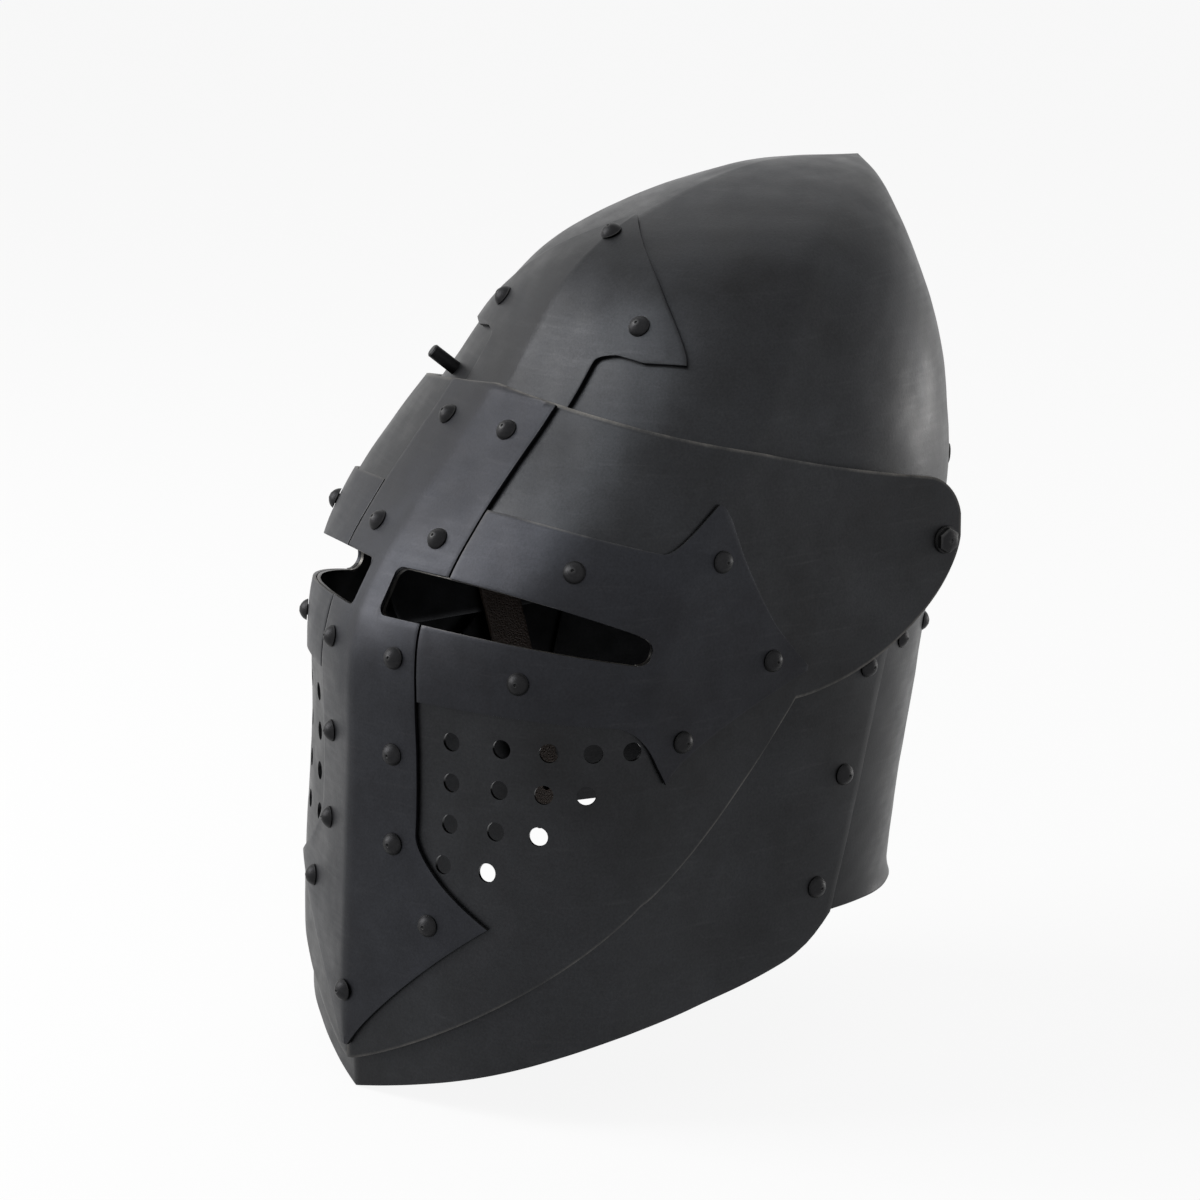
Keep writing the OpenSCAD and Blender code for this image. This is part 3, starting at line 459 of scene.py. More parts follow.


# Blackened steel: cloudy oxide, faint rub marks and a bright worn edge, with a painted highlight where the edge
# faces up.
steel, steelIn, steelOut = newGroup("blackenedSteel", [
    ("Dark", "NodeSocketColor", (0.020, 0.020, 0.022, 1)), ("Light", "NodeSocketColor", (0.05, 0.053, 0.062, 1)),
    ("WornAndLitEdge", "NodeSocketColor", (0.18, 0.17, 0.155, 1)), ("Rough", "NodeSocketFloat", 0.4),
    ("EdgeWearAndLightMask", "NodeSocketFloat", 0.0), ("Rub", "NodeSocketFloat", 1.0)],
    [("Color", "NodeSocketColor"), ("Roughness", "NodeSocketFloat"), ("Height", "NodeSocketFloat")])
coord = steel.nodes.new("ShaderNodeTexCoord").outputs["Object"]
cloud = noiseNode(steel, coord, 9, 5, 0.6)
patch = noiseNode(steel, coord, 42, 6, 0.65)
grain = noiseNode(steel, coord, 950, 3, 0.7)
rubs = noiseNode(steel, coord, 90, 4, 0.6, (0.35, 0.35, 5.0))
speck = noiseNode(steel, coord, 260, 5, 0.7)
tone = mathNode(steel, "ADD", rangeNode(steel, cloud, 0.35, 0.7, 0, 0.6),
                rangeNode(steel, patch, 0.35, 0.75, 0, 0.4))
base = mixColor(steel, tone, steelIn.outputs["Dark"], steelIn.outputs["Light"])
rubMask = mathNode(steel, "MULTIPLY", rangeNode(steel, rubs, 0.58, 0.82, 0, 0.14), steelIn.outputs["Rub"])
base = mixColor(steel, rubMask, base, (0.075, 0.075, 0.078, 1))
dust = rangeNode(steel, speck, 0.68, 0.82, 0, 0.28)
base = mixColor(steel, dust, base, (0.075, 0.072, 0.066, 1))
broken = rangeNode(steel, patch, 0.40, 0.62, 0.25, 1.0)
# Bright worn edge, plus a painted highlight on edges that face up.
edge = mathNode(steel, "MULTIPLY", rangeNode(steel, steelIn.outputs["EdgeWearAndLightMask"], 0.3, 1.0, 0, 1), broken)
base = mixColor(steel, edge, base, steelIn.outputs["WornAndLitEdge"])
base = mixColor(steel, rangeNode(steel, grain, 0.35, 0.7, 0.0, 0.32), base, (0.010, 0.010, 0.011, 1))
rough = mathNode(steel, "ADD", steelIn.outputs["Rough"], rangeNode(steel, patch, 0.3, 0.7, -0.06, 0.07))
rough = mathNode(steel, "ADD", rough, rangeNode(steel, rubs, 0.4, 0.8, 0.015, -0.03))
height = mathNode(steel, "ADD", mathNode(steel, "MULTIPLY", grain, 0.5), mathNode(steel, "MULTIPLY", speck, 0.5))
setInputs(steel, steelOut, {"Color": base, "Roughness": rough, "Height": height})

# Leather: pebbled grain, darker in the creases, with random stains and darker cut edges.
leather, leatherIn, leatherOut = newGroup("leatherGrain", [
    ("Tan", "NodeSocketColor", (0.30, 0.15, 0.07, 1)), ("Shade", "NodeSocketColor", (0.12, 0.055, 0.025, 1)),
    ("Grain", "NodeSocketFloat", 700.0), ("EdgeWearAndLightMask", "NodeSocketFloat", 0.0)],
    [("Color", "NodeSocketColor"), ("Roughness", "NodeSocketFloat"), ("Height", "NodeSocketFloat")])
coord = leather.nodes.new("ShaderNodeTexCoord").outputs["Object"]
pebble = leather.nodes.new("ShaderNodeTexVoronoi")
pebble.feature = "DISTANCE_TO_EDGE"
setInputs(leather, pebble, {"Vector": coord, "Scale": leatherIn.outputs["Grain"]})
crease = rangeNode(leather, pebble.outputs["Distance"], 0.0, 0.22)
stain = noiseNode(leather, coord, 28, 5, 0.6)
fibre = noiseNode(leather, coord, 520, 3, 0.6)
hideTone = mathNode(leather, "MULTIPLY", rangeNode(leather, stain, 0.3, 0.7, 0.35, 1.0),
                    mathNode(leather, "ADD", mathNode(leather, "MULTIPLY", crease, 0.35), 0.65))
tan = mixColor(leather, hideTone, leatherIn.outputs["Shade"], leatherIn.outputs["Tan"])
cutEdge = rangeNode(leather, leatherIn.outputs["EdgeWearAndLightMask"], 0.5, 1.0, 0, 0.55)
tan = mixColor(leather, cutEdge, tan, (0.07, 0.035, 0.02, 1))
rough = rangeNode(leather, stain, 0.3, 0.7, 0.72, 0.52)
height = mathNode(leather, "ADD", crease, mathNode(leather, "MULTIPLY", fibre, 0.4))
setInputs(leather, leatherOut, {"Color": tan, "Roughness": rough, "Height": height})


finish = {
    "plateSteel": {"Dark": (0.021, 0.0212, 0.022, 1), "Light": (0.037, 0.0385, 0.042, 1), "Rough": 0.41},
    "crossSteel": {"Dark": (0.020, 0.0202, 0.0225, 1), "Light": (0.035, 0.037, 0.043, 1), "Rough": 0.43},
    "rivetSteel": {"Dark": (0.016, 0.016, 0.0165, 1), "Light": (0.031, 0.031, 0.033, 1), "Rough": 0.46,
                   "WornAndLitEdge": (0.07, 0.07, 0.07, 1)},
    "innerSteel": {"Dark": (0.03, 0.03, 0.031, 1), "Light": (0.07, 0.068, 0.066, 1), "Rough": 0.5,
                   "WornAndLitEdge": (0.3, 0.3, 0.29, 1)},
    "buckleSteel": {"Dark": (0.18, 0.18, 0.18, 1), "Light": (0.32, 0.31, 0.30, 1), "Rough": 0.33},
    "liningLeather": {"Tan": (0.16, 0.075, 0.034, 1), "Shade": (0.075, 0.032, 0.015, 1), "Grain": 620.0},
    # The strap's dark brown leather is pushed near black, a painted shade for the dark inside where the strap is
    # seen.
    "strapLeatherPaintedShade": {"Tan": (0.036, 0.018, 0.010, 1), "Shade": (0.013, 0.007, 0.004, 1), "Grain": 760.0}}
finish["boltSteel"] = finish["rivetSteel"]


# The bump is its strength and its depth in metres.
def groupMaterial(name, group, bump, metallic=1.0, wearAndLightMap=True):
    material = bpy.data.materials.new(name)
    material.use_nodes = True
    tree = material.node_tree
    node = tree.nodes.new("ShaderNodeGroup")
    node.node_tree = group
    setInputs(tree, node, finish[name])
    if wearAndLightMap:
        attribute = tree.nodes.new("ShaderNodeAttribute")
        attribute.attribute_name = "edgeWearAndLight"
        tree.links.new(attribute.outputs["Fac"], node.inputs["EdgeWearAndLightMask"])
    relief = {"Strength": bump[0], "Distance": bump[1], "Height": node.outputs["Height"]}
    bumpNode = setInputs(tree, tree.nodes.new("ShaderNodeBump"), relief)
    setInputs(tree, tree.nodes["Principled BSDF"],
              {"Metallic": metallic, "Base Color": node.outputs["Color"], "Roughness": node.outputs["Roughness"],
               "Normal": bumpNode.outputs["Normal"]})
    return material


materials = {
    "plate": groupMaterial("plateSteel", steel, (0.25, 0.0003)),
    "cross": groupMaterial("crossSteel", steel, (0.25, 0.0003)),
    "rivet": groupMaterial("rivetSteel", steel, (0.35, 0.0003)),
    "inner": groupMaterial("innerSteel", steel, (0.35, 0.0003), wearAndLightMap=False),
    "bolt": groupMaterial("boltSteel", steel, (0.35, 0.0003), wearAndLightMap=False),
    "buckle": groupMaterial("buckleSteel", steel, (0.2, 0.0002), wearAndLightMap=False),
    "lining": groupMaterial("liningLeather", leather, (0.5, 0.0005), metallic=0.0),
    "strap": groupMaterial("strapLeatherPaintedShade", leather, (0.5, 0.0005), metallic=0.0)}

print("skull")
skullPlate = {"faceZ": 237, "napeZ": 169, "turnU": 0.82, "turnOver": 0.36, "top": 424, "tip": 429.5,
              "tipThick": 1.25, "cols": 256, "rows": 96}


# The skull's lower edge steps down from the face opening to the nape.
def skullEdge(u):
    turn = ease((np.abs(u) - skullPlate["turnU"]) / skullPlate["turnOver"])
    return mix(skullPlate["faceZ"], skullPlate["napeZ"], turn)


us = np.linspace(-3, 3, skullPlate["cols"], endpoint=False)[None, :]
f = (np.arange(skullPlate["rows"] + 1) / skullPlate["rows"])[:, None]
hs = mix(skullEdge(us), skullPlate["top"], f * (1.12 - 0.12 * f))  # rows a little closer near the top
us = np.broadcast_to(us, hs.shape)
tip = body0(skullPlate["tip"], 0.0)
skull = gridPiece("skull_plate", onBody(hs, us, -plate), onBody(hs, us, 0), closed=True,
                  tip=np.array([tip - [0, 0, skullPlate["tipThick"] * plate], tip]))
softenEdges(skull)

# Holes for the catch pin, just above the visor's edge, and for the two pivot bolts.
pin = {"loop": 292, "x": 62, "above": 6, "hole": 6.5}
pivotHole = {"d": 6.1, "x": 100, "visorX": 8}
pinU = -float(quarters(pin["x"] / loopAt(pin["loop"])[4]))
pinH = float(visorEdge(-pinU)) + pin["above"]
pivots = [(np.array([s * pivotHole["x"], form["pivotY"], form["pivotZ"]]), np.array([s, 0.0, 0.0]), pivotHole["d"])
          for s in (-1, 1)]
drill(skull, [(body0(pinH, pinU), facing(body0, pinH, pinU), pin["hole"])] + pivots, depth=26)
finishPiece(skull, materials["plate"], "helmet", ["skull"], wearAndTopLight=(0.1, 0.2))

print("outer plates")
browPlate = {"low": 286, "notch": 303, "barb": 313, "tip": 366, "neck": 37.2, "reach": 74.5,
             "droop": 2.5, "droopTop": 340, "droopOver": 27, "cols": 61}


# Half of the brow plate's width: its neck, a barb on each side and the taper to the tip on the keel.
def browHalf(h):
    p = browPlate
    taper = mix(p["reach"], 1, clamp((h - p["barb"]) / (p["tip"] - p["barb"])) ** 1.25)
    barb = mix(p["neck"], p["reach"], clamp((h - p["notch"]) / (p["barb"] - p["notch"])) ** 7)
    return np.where(h > p["barb"], taper, np.where(h > p["notch"], barb, p["neck"]))


hs = np.concatenate([np.linspace(browPlate["low"], browPlate["notch"], 8)[:-1],
                     np.linspace(browPlate["notch"], browPlate["barb"], 14)[:-1],
                     np.linspace(browPlate["barb"], browPlate["tip"], 28)])[:, None]
across = np.linspace(-1, 1, browPlate["cols"])[None, :]
u = quarters(browHalf(hs) / loopAt(hs)[..., 4]) * across
droop = browPlate["droop"] * np.abs(across) ** 3 * clamp((browPlate["droopTop"] - hs) / browPlate["droopOver"])
hs = hs - np.where(hs < browPlate["barb"] - 1, 0, droop)
brow = gridPiece("brow_plate_skin", onBody(hs, u, lay), onBody(hs, u, outerLay))
softenEdges(brow)
finishPiece(brow, materials["plate"], "helmet", ["brow_plate"], wearAndTopLight=(0.2, 0.15))

# The neck's seam, where the throat plate laps over the back plate.
neck = {"rimZ": 71, "collarZ": 190, "seamLow": 33.5, "seamHigh": 67, "lap": 20}


def seamY(h):
    return mix(neck["seamLow"], neck["seamHigh"], (h - neck["rimZ"]) / (neck["collarZ"] - neck["rimZ"]))


def backStart(h):
    return sideU(seamY(h) - neck["lap"], h)


backPlate = {"under": 6, "flare": 2, "flareH": 9, "flareFrom": 2.1, "flareOver": 0.3, "rows": 60, "cols": 170}
hs = mix(neck["rimZ"], neck["collarZ"] + backPlate["under"], np.linspace(0, 1, backPlate["rows"])[:, None] ** 1.3)
first = backStart(hs)
v = mix(first, 6 - first, np.linspace(0, 1, backPlate["cols"])[None, :])  # past 3 on the wearer's right
u = np.where(v > 3, v - 6, v)
hs = np.broadcast_to(hs, u.shape)
flare = backPlate["flare"] * clamp((neck["rimZ"] + backPlate["flareH"] - hs) / backPlate["flareH"]) ** 2
past = np.where(v < 3, v, 6 - v) - backPlate["flareFrom"]
flare = flare * ease(past / backPlate["flareOver"])
back = gridPiece("back_plate_skin", onBody(hs, u, lay + flare), onBody(hs, u, outerLay + flare))
softenEdges(back)
finishPiece(back, materials["plate"], "helmet", ["back_plate"], wearAndTopLight=(0.1, 0.2))

throatPlate = {"topZ": 60, "topU": 1.95, "endU": 2.07, "rise": 36.7, "swell": 29, "sideRise": 9, "sideCurve": 8,
               "sideU": 0.92, "cornerRise": 10.7, "cornerU": 1.87, "cornerOver": 0.281, "turn": 1.03,
               "lay": 0.6, "stepBefore": 0.5, "stepOver": 0.4, "rows": 64, "cols": 241}


# The lower edge. Past 2 it rises by distance round the nape's curve, so its corner stays smooth.
def throatRim(u):
    p = throatPlate
    front = np.minimum(u, 1)
    far = np.where(u > 2, 2 + p["turn"] * np.sin(np.radians(90 * np.maximum(0, u - 2))) ** 0.87, u)
    side = np.maximum(0, far - 1) / p["sideU"]
    return (p["rise"] * front + p["swell"] * front ** 3 * (1 - front) + p["sideRise"] * side
            + p["sideCurve"] * side ** 2 + p["cornerRise"] * clamp((far - p["cornerU"]) / p["cornerOver"]) ** 3)


def throatTop(u):
    return mix(throatPlate["topZ"], neck["collarZ"], np.minimum(1, u / throatPlate["topU"]) ** 1.2)


k = np.linspace(-1, 1, throatPlate["cols"])[None, :]
s = np.where(k < 0, -1, 1)
f = np.abs(k) ** 1.05
v = throatPlate["endU"] * f
hs = mix(throatRim(v), throatTop(v), np.linspace(0, 1, throatPlate["rows"])[:, None])
w = f * mix(throatPlate["endU"], sideU(seamY(hs), hs), f ** 6)  # the last columns lean to the seam
step = ease((w - backStart(hs) + throatPlate["stepBefore"]) / throatPlate["stepOver"])
off = mix(throatPlate["lay"], throatLay, step)
throat = gridPiece("throat_plate_skin", onBody(hs, s * w, off), onBody(hs, s * w, off + plate))
softenEdges(throat)
finishPiece(throat, materials["plate"], "helmet", ["throat_plate"], wearAndTopLight=(0.1, -0.25))

print("visor")


# The visor's lower edge: chin, cheek and the round underside of the lobe.
def visorBottom(u):
    low, cheek, cornerU, cornerH = [visorPlate[key] for key in ("low", "cheekH", "cornerU", "cornerH")]
    lobe = form["pivotZ"] + visorPlate["lobeRise"]
    over = np.maximum(0, (u - cornerU) / (2 - cornerU)) ** 1.7
    far = lobe - (lobe - cornerH) * np.maximum(0, 1 - over) ** (1 / 1.7)
    middle = mix(cheek, cornerH, (np.maximum(0, u - 1) / (cornerU - 1)) ** 1.3)
    return np.where(u < 1, low + (cheek - low) * u ** 1.15, np.where(u < cornerU, middle, far))


# Heights of the rows at each place, with two rows held on the eye slot's edges.
def heldRows(v, low, high, lowRows, topRows):
    w = np.minimum(v, slot["out"])
    a = (slotLow(w) - low(w)) / (high(w) - low(w))
    b = (slotTop(w) - low(w)) / (high(w) - low(w))
    n = np.arange(lowRows + 2 + topRows)[:, None]
    f = np.where(n <= lowRows, a * n / lowRows, b + (1 - b) * (n - lowRows - 1) / topRows)
    return mix(low(v), high(v), f)


cornerU, lowRows = visorPlate["cornerU"], visorPlate["lowRows"]
half = np.concatenate([np.linspace(0, slotIn, 6)[:-1], slotIn + turnSteps / slot["perU"],
                       np.linspace(slotIn + turnSteps[-1] / slot["perU"], slot["out"], 55)[1:],
                       np.linspace(slot["out"], cornerU, 38)[1:],
                       cornerU + (2 - cornerU) * np.sin(np.radians(np.linspace(0, 86, 34)[1:]))])
us = np.concatenate([-half[:0:-1], half])[None, :]
hs = heldRows(np.abs(us), visorBottom, visorEdge, lowRows, visorPlate["topRows"])
us = np.broadcast_to(us, hs.shape)
middle = np.abs(us[0, 1:] + us[0, :-1]) / 2
keep = np.ones((hs.shape[0] - 1, hs.shape[1] - 1), bool)
keep[lowRows, (middle > slotIn) & (middle < slot["out"])] = False
visorPiece = gridPiece("visor_plate", onVisor(hs, us, 0), onVisor(hs, us, plate), keep)
softenEdges(visorPiece)


def visorSpot(h, u, d):
    return visor0(h, u) + plate / 2 * facing(visor0, h, u), facing(visor0, h, u), d


# Breath holes in rows of five, four, three and two, then the slots' round ends and the pivot holes.
breath = {"d": 8, "z": 161, "pitch": 17.8, "firstU": 0.316, "lastFirstU": 0.301, "stepU": 0.161, "rows": 4,
          "closing": 0.0045, "leaning": 0.004, "clear": 2.5}
breathSpots = [(breath["z"] - b * breath["pitch"],
                (breath["lastFirstU"] if b == breath["rows"] - 1 else breath["firstU"]) + breath["stepU"] * a
                - breath["closing"] * a * (a - 1) - breath["leaning"] * b * a)
               for b in range(breath["rows"]) for a in range(5 - b)]
breathHoles = [visorSpot(h, s * u, breath["d"]) for h, u in breathSpots for s in (-1, 1)]
slotMid = float((slotLow(slot["out"]) + slotTop(slot["out"])) / 2)
slotEnds = [visorSpot(slotMid, s * slot["out"], slot["endHigh"]) for s in (-1, 1)]
drill(visorPiece, breathHoles + slotEnds + [(p + [n[0] * pivotHole["visorX"], 0, 0], n, d) for p, n, d in pivots])
finishPiece(visorPiece, materials["plate"], "visor", ["visor_shell"], wearAndTopLight=(0.62, 0.25),
            clear=[(p, breath["d"] / 2 + breath["clear"]) for p, n, d in breathHoles])

print("cross plates")
noseBar = {"topW": 76, "width": 69, "footW": 141, "footZ": 84, "tipZ": 19, "flareH": 34, "waist": 2.5,
           "waistOver": 30, "topAdd": 3, "low": 20}
crossArm = {"top": 248, "low": 176, "startU": 0.22, "barU": 0.23, "barGap": 1.1, "upU": 0.942, "downU": 1.034,
            "tipU": 1.469, "dip": 8.6, "dipU": 0.85, "dipOver": 0.63, "barb": 19, "sideU": 1.34, "fall": 54,
            "tipTop": 184.5, "sag": 3.5, "sagU": 0.77, "sagOver": 0.55, "lowBarb": 27.6, "tipLow": 182.5,
            "cols": 46, "rows": 20}


# Half of the bar's width: the pointed foot, its flare, the stem and the part over the slots.
def barHalf(h):
    footZ, footW, stemW = noseBar["footZ"], noseBar["footW"] / 2, noseBar["width"] / 2
    flareTop = footZ + noseBar["flareH"]
    foot = footW * np.maximum(0, (h - noseBar["tipZ"]) / (footZ - noseBar["tipZ"])) ** 1.2
    flare = stemW + (footW - stemW) * clamp((flareTop - h) / noseBar["flareH"]) ** 1.6
    stem = stemW - noseBar["waist"] * ease((h - crossArm["low"]) / noseBar["waistOver"])
    overSlot = (h - slot["z"] - slot["high"]) / (visorPlate["top"] - slot["z"] - slot["high"])
    top = mix(stemW + noseBar["topAdd"], noseBar["topW"] / 2, overSlot)
    return np.where(h <= footZ, foot, np.where(h <= flareTop, flare, np.where(h <= slot["z"], stem, top)))


# The arm's upper edge dips beside the slot, rises to a barb and falls to the arm's point.
def armUpper(v):
    a = crossArm
    low, peak = a["top"] - a["dip"], a["top"] - a["dip"] + a["barb"]
    dip = a["top"] - a["dip"] * clamp((v - a["startU"]) / a["dipOver"]) ** 1.6
    rise = low + a["barb"] * clamp((v - a["dipU"]) / (a["upU"] - a["dipU"])) ** 2.2
    fall = peak - a["fall"] * clamp((v - a["upU"]) / (a["sideU"] - a["upU"])) ** 1.35
    point = mix(peak - a["fall"], a["tipTop"], (v - a["sideU"]) / (a["tipU"] - a["sideU"]))
    return np.where(v < a["dipU"], dip, np.where(v < a["upU"], rise, np.where(v < a["sideU"], fall, point)))


# Its lower edge runs under the slot, drops to the lower barb and climbs to the point.
def armLower(v):
    a = crossArm
    sag = a["low"] - a["sag"]
    under = a["low"] - a["sag"] * clamp((v - a["startU"]) / a["sagOver"]) ** 1.8
    drop = sag - a["lowBarb"] * clamp((v - a["sagU"]) / (a["downU"] - a["sagU"])) ** 2.7
    climb = mix(sag - a["lowBarb"], a["tipLow"], clamp((v - a["downU"]) / (a["tipU"] - a["downU"])) ** 0.68)
    return np.where(v < a["sagU"], under, np.where(v < a["downU"], drop, climb))


flareTop = noseBar["footZ"] + noseBar["flareH"]
barRows = np.concatenate([np.linspace(noseBar["low"], noseBar["footZ"], 26)[:-1],
                          np.linspace(noseBar["footZ"], flareTop, 20)[:-1],
                          np.linspace(flareTop, slot["z"], 32),
                          np.linspace(slot["z"] + slot["high"], visorPlate["top"] - 1, 26)])
slotRow = int(np.searchsorted(barRows, slot["z"]))
hs = barRows[:, None]
wide = barHalf(hs)
nose = np.minimum(slot["nose"] / 2, wide / 2)
turnX = nose + turnSteps[None, :] * np.minimum(1, wide / 24)
sideX = np.concatenate([turnX, mix(turnX[:, -1:], wide, np.linspace(0, 1, 13)[None, 1:])], 1)
x = np.concatenate([-sideX[:, ::-1], mix(-nose, nose, np.linspace(0, 1, 9)[None, 1:-1]), sideX], 1)
v = faceU(np.abs(x), hs)
hs = np.minimum(hs, visorEdge(v) - 1)
hs[slotRow] += slotTurn(v[slotRow])
hs[slotRow + 1] -= slotTurn(v[slotRow + 1])
u = np.where(x < 0, -v, v)
slotCols = sideX.shape[1] - 1
keep = np.ones((hs.shape[0] - 1, hs.shape[1] - 1), bool)
keep[slotRow, :slotCols] = False
keep[slotRow, -slotCols:] = False
bar = gridPiece("nose_bar", onVisor(hs, u, crossLay), onVisor(hs, u, crossLay + plate), keep)
softenEdges(bar)
finishPiece(bar, materials["cross"], "visor", ["cross_bar"], wearAndTopLight=(0.08, 0.5))

# The arm's first columns start along the bar's edge and end at the slot's outer end.
cols, rows = crossArm["cols"], crossArm["rows"]
vs = np.concatenate([np.linspace(crossArm["barU"], slot["out"], cols),
                     np.linspace(slot["out"], crossArm["upU"], 9)[1:],
                     np.linspace(crossArm["upU"], crossArm["downU"], 10)[1:],
                     np.linspace(crossArm["downU"], crossArm["tipU"], 40)[1:]])[None, :]
hs = heldRows(vs, armLower, armUpper, rows, rows)
vs = np.broadcast_to(vs, hs.shape).copy()
barEdge = faceU(barHalf(hs[:, :1]) + crossArm["barGap"], hs[:, :1])
vs[:, :cols] = mix(barEdge, slot["out"], np.linspace(0, 1, cols)[None, :])
hs = heldRows(vs, armLower, armUpper, rows, rows)
keep = np.ones((hs.shape[0] - 1, hs.shape[1] - 1), bool)
keep[rows, :cols - 1] = False
for side, s in (("left", 1), ("right", -1)):
    inner, outer = mirrored(s, onVisor(hs, vs, crossLay), onVisor(hs, vs, crossLay + plate))
    arm = gridPiece("cross_arm_skin_" + side, inner, outer, keep[:, ::s])
    softenEdges(arm)
    drill(arm, [visorSpot(slotMid, s * slot["out"], slot["endHigh"])])
    finishPiece(arm, materials["cross"], "visor", ["cross_arm_" + side], wearAndTopLight=(0.12, 0.6))

print("rivets")
rivet = {"head": 9.5, "high": 3.5, "backHead": 8.5, "backHigh": 2.3, "shank": 4.8, "burr": 6.6, "burrHigh": 1.1,
         "burrGap": 1.1, "seat": 0.18, "steps": 32, "turnEach": 1.9}


# One rivet turned from its profile: a domed head with a set mark, a shank and the peened end inside.
def turnedRivet(head, high, grip):
    r, seat, burr, shank = head / 2, rivet["seat"], rivet["burr"] / 2, rivet["shank"] / 2
    ball = (r * r + high * high) / (2 * high)
    turn = math.asin(r / ball)
    profile = [(0, high - 0.55), (0.35, high - 0.5), (0.55, high - 0.12), (0.72, high + 0.02), (1.05, high + 0.02)]
    profile += [(ball * math.sin(turn * q), high - ball + ball * math.cos(turn * q)) for q in
                (0.34, 0.45, 0.56, 0.67, 0.78, 0.88, 0.96)]
    profile += [(r, 0.25), (r - 0.1, 0)]
    low = -grip - rivet["burrGap"]
    end = low - rivet["burrHigh"]
    profile += [(shank, 0), (shank, low), (burr - 0.2, low), (burr, low - 0.25), (burr - 0.1, end + 0.2),
                (burr - 0.5, end), (0, end)]
    bm = bmesh.new()
    points = [bm.verts.new((a / 1000, 0, (b + seat) / 1000)) for a, b in profile]
    edges = [bm.edges.new(pair) for pair in zip(points, points[1:])]
    bmesh.ops.spin(bm, geom=points + edges, axis=(0, 0, 1), cent=(0, 0, 0), steps=rivet["steps"],
                   angle=2 * math.pi)
    bmesh.ops.remove_doubles(bm, verts=bm.verts, dist=1e-6)
    bmesh.ops.recalc_face_normals(bm, faces=bm.faces)
    mesh = bpy.data.meshes.new("rivet")
    bm.to_mesh(mesh)
    bm.free()
    return mesh


# Sets a copy of the rivet at each place, (h, u), of a surface and joins them.
def setRivets(name, mesh, surface, places, off, body, node):
    copies = []
    for k, (h, u) in enumerate(places):
        copy = bpy.data.objects.new(name + str(k), mesh.copy())
        scene.collection.objects.link(copy)
        n = facing(surface, h, u)
        p = surface(h, u)
        p = p + (off + float(forged(p))) * n
        copy.matrix_world = toward(p, n) @ Matrix.Rotation(k * rivet["turnEach"], 4, "Z")
        copies.append(copy)
    group = joined(copies)
    bpy.ops.object.transform_apply()
    group.name = name
    finishPiece(group, materials["rivet"], body, [node], smooth=35, edgeWearAndLight=0.5)


def both(places):
    return [(h, s * u) for h, u in places for s in (1, -1)]


# Places of the rivets: half widths and heights on the bar, heights and depths on the neck, in millimetres.
barPairs = [(21.4, 276.6), (22.2, 234.9), (22.4, 191), (22, 151.3), (23.2, 112.4), (43.3, 81)]
barSpots = both([(h, float(faceU(x, h))) for x, h in barPairs]) + [(44, 0.0)]
armSpots = [(231.3, 0.607), (188.8, 0.523), (234.9, 1.075), (189.4, 1.347), (162, 1.076)]
browSpots = [(322.4, 0.356), (322.4, -0.356), (357, 0.0)]
backSpots = both([(183, float(sideU(y, 183))) for y in (80, 108)])
throatSpots = both([(h, float(sideU(y, h))) for h, y in ((177, 52), (131.5, 39), (84, 25))])
head, high = rivet["head"], rivet["high"]
grip, crossTop = 2 * plate + lay, crossLay + plate
setRivets("brow_rivet_set", turnedRivet(head, high, grip), body0, browSpots, outerLay,
          "helmet", "brow_plate_rivets")
setRivets("back_rivet_set", turnedRivet(rivet["backHead"], rivet["backHigh"], grip), body0, backSpots, outerLay,
          "helmet", "back_plate_rivets")
setRivets("throat_rivet_set", turnedRivet(head, high, throatLay + plate - lay), body0, throatSpots,
          throatLay + plate, "helmet", "throat_plate_rivets")
setRivets("bar_rivet_set", turnedRivet(head, high, grip), visor0, barSpots, crossTop, "visor", "cross_bar_rivets")
for side, s in (("left", 1), ("right", -1)):
    setRivets("arm_rivet_set_" + side, turnedRivet(head, high, grip), visor0, [(h, s * u) for h, u in armSpots],
              crossTop, "visor", "cross_arm_rivets_" + side)

print("pivot bolts")
bolt = {"flats": 9.6, "side": 1.5, "shank": 5.8, "inner": 76, "seat": 109.9, "washer": 12.2, "lip": 1.1,
        "around": 48}


# A hexagonal head domed by hand, with a punch mark, over a thin washer on the bolt's shank.
def pivotBolt(name, s):
    seat, shank, washer, count = bolt["seat"] - bolt["lip"], bolt["shank"] / 2, bolt["washer"] / 2, bolt["around"]
    rings = [(shank, bolt["inner"]), (shank, seat), (washer - 0.15, seat), (washer, seat + 0.2),
             (washer - 0.25, seat + bolt["lip"])]
    dome = [(1.0, 0), (1.0, bolt["side"]), (0.94, 1.9), (0.70, 2.5), (0.42, 2.85), (0.20, 2.95), (0.16, 2.6)]
    verts, faces = [], []

    def place(r, turn, x):
        verts.append((s * x, form["pivotY"] + r * math.cos(turn), form["pivotZ"] + r * math.sin(turn)))

    turns = [k * math.tau / count for k in range(count)]
    for r, x in rings:
        for turn in turns:
            place(r, turn, x)
    for share, rise in dome:  # the hexagon turns round towards the middle of the dome
        for turn in turns:
            flat = bolt["flats"] / 2 / math.cos((turn + math.pi / 6) % (math.pi / 3) - math.pi / 6)
            place(share * mix(flat, bolt["flats"] / 2, clamp((1 - share) * 3)), turn, seat + bolt["lip"] + rise)
    levels = len(rings) + len(dome)
    for j in range(levels - 1):
        for k in range(count):
            a, b = j * count + k, j * count + (k + 1) % count
            quad = (a, b, b + count, a + count)
            faces.append(quad if s > 0 else quad[::-1])
    for ring, flip in ((0, s > 0), (levels - 1, s < 0)):
        cap = [ring * count + k for k in range(count)]
        faces.append(cap[::-1] if flip else cap)
    return link(name, np.array(verts) / 1000, faces)


for side, s in (("left", 1), ("right", -1)):
    finishPiece(pivotBolt("pivot_bolt_turned_" + side, s), materials["rivet"], "helmet",
                ["pivot_bolt_" + side], smooth=25, edgeWearAndLight=0.6, wearAndTopLight=(0.6, 0.4))

